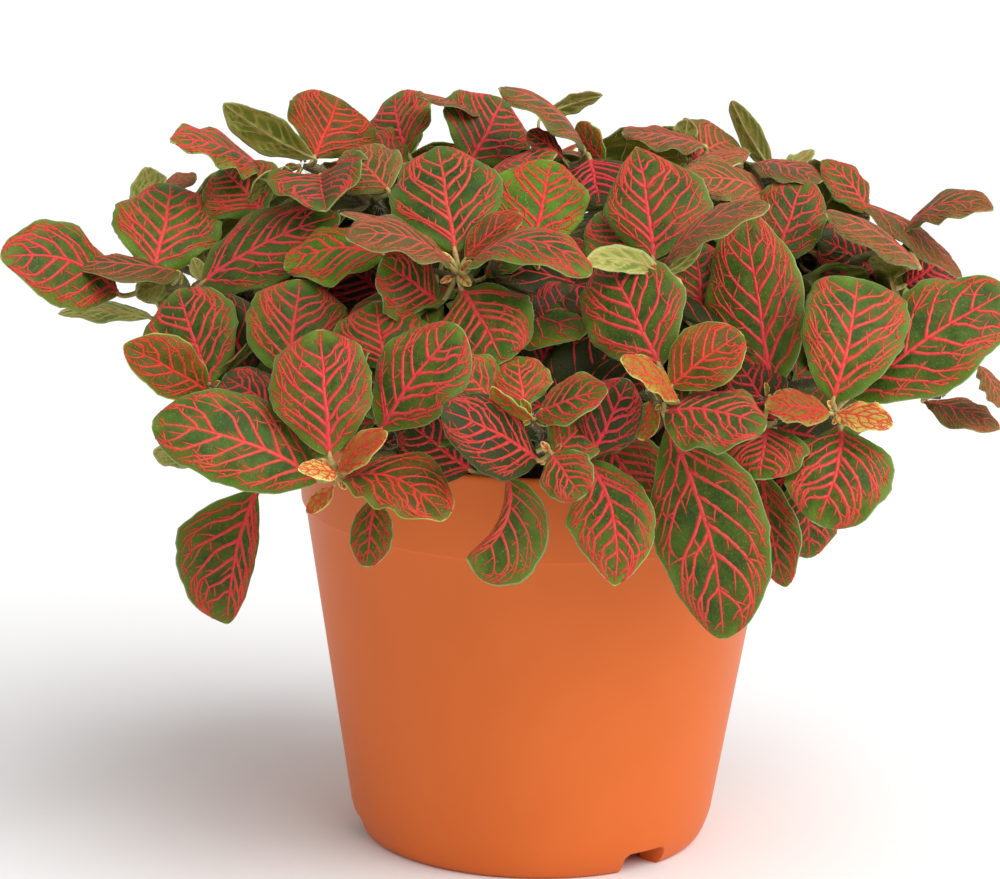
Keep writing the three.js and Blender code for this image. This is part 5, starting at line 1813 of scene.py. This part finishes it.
class LeafSettings(bpy.types.PropertyGroup):
    """What a user would change about the leaves."""
    thickness: bpy.props.FloatProperty(name="Thickness", description="Thickness of a full leaf's blade",
                                       default=LEAF_THICKNESS * MM, unit="LENGTH")
    quilt: bpy.props.FloatProperty(name="Quilting", description="How far the green rises between the veins",
                                   default=0.00038, unit="LENGTH")


class StageSettings(bpy.types.PropertyGroup):
    """What a user would change about the light."""
    sky: bpy.props.FloatProperty(name="Sky", description="Strength of the white surroundings", default=0.58)
    sun: bpy.props.FloatProperty(name="Sun", description="Strength of the soft light from the upper right",
                                 default=2.15)
    panel_power: bpy.props.FloatProperty(name="Panel", description="Power of the light beside the pot",
                                         default=3.0, unit="POWER")


class Builder:
    """What the operators share: each runs its own builders with its own settings."""

    def execute(self, context):
        """Builds every piece of this operator."""
        for build in self.builders:
            build(getattr(context.scene, self.settings))
        return {"FINISHED"}


class PLANT_OT_pot(Builder, bpy.types.Operator):
    """Adds the moulded pot with its rim band and drain notches"""
    bl_idname = "plant.add_pot"
    bl_label = "Pot"
    settings = "plant_pot"
    builders = (build_pot,)


class PLANT_OT_soil(Builder, bpy.types.Operator):
    """Adds the soil, its crumbs and its perlite"""
    bl_idname = "plant.add_soil"
    bl_label = "Soil"
    settings = "plant_soil"
    builders = (build_soil,)


class PLANT_OT_stems(Builder, bpy.types.Operator):
    """Adds the stems and side shoots with their hairs"""
    bl_idname = "plant.add_stems"
    bl_label = "Stems"
    settings = "plant_stem"
    builders = (build_stems,)


class PLANT_OT_leaves(Builder, bpy.types.Operator):
    """Adds the leaves: those that the view shows, and those over the back and the sides"""
    bl_idname = "plant.add_leaves"
    bl_label = "Leaves"
    settings = "plant_leaf"
    builders = (build_seen_leaves, build_rear_leaves, build_tuft_leaves, build_inner_leaves, build_buds)


class PLANT_OT_stage(Builder, bpy.types.Operator):
    """Adds the floor, the lights and the camera"""
    bl_idname = "plant.add_stage"
    bl_label = "Stage"
    settings = "plant_stage"
    builders = (build_stage,)


OPERATORS = (PLANT_OT_pot, PLANT_OT_soil, PLANT_OT_stems, PLANT_OT_leaves, PLANT_OT_stage)
SETTINGS = {
    "plant_pot": PotSettings,
    "plant_soil": SoilSettings,
    "plant_stem": StemSettings,
    "plant_leaf": LeafSettings,
    "plant_stage": StageSettings,
}


class PLANT_PT_panel(bpy.types.Panel):
    """Lists the pieces and their settings"""
    bl_idname = "PLANT_PT_panel"
    bl_label = "Nerve plant"
    bl_space_type = "VIEW_3D"
    bl_region_type = "UI"
    bl_category = "Nerve plant"

    def draw(self, context):
        """Boxes of settings, then a button for each operator."""
        for name, settings in SETTINGS.items():
            box = self.layout.box()
            for key in settings.__annotations__:
                box.prop(getattr(context.scene, name), key)
        for operator in OPERATORS:
            self.layout.operator(operator.bl_idname)


def register():
    """Makes the classes known to Blender and gives the scene its settings."""
    for item in (*SETTINGS.values(), *OPERATORS, PLANT_PT_panel):
        bpy.utils.register_class(item)
    for name, settings in SETTINGS.items():
        setattr(bpy.types.Scene, name, bpy.props.PointerProperty(type=settings))


def unregister():
    """Takes back what register does."""
    for name in SETTINGS:
        delattr(bpy.types.Scene, name)
    for item in (PLANT_PT_panel, *OPERATORS, *SETTINGS.values()):
        bpy.utils.unregister_class(item)


def main():
    """Builds every piece, then works out the boxes of the CAD model and of the visual one, in metres."""
    register()
    bpy.ops.plant.add_stage()
    bpy.ops.plant.add_pot()
    bpy.ops.plant.add_soil()
    bpy.ops.plant.add_stems()
    bpy.ops.plant.add_leaves()
    boxes = {"cad": CAD_BOX, "visual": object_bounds()}
    boxes = {name: [list(corner) for corner in box] for name, box in boxes.items()}


if __name__ == "__main__":
    main()
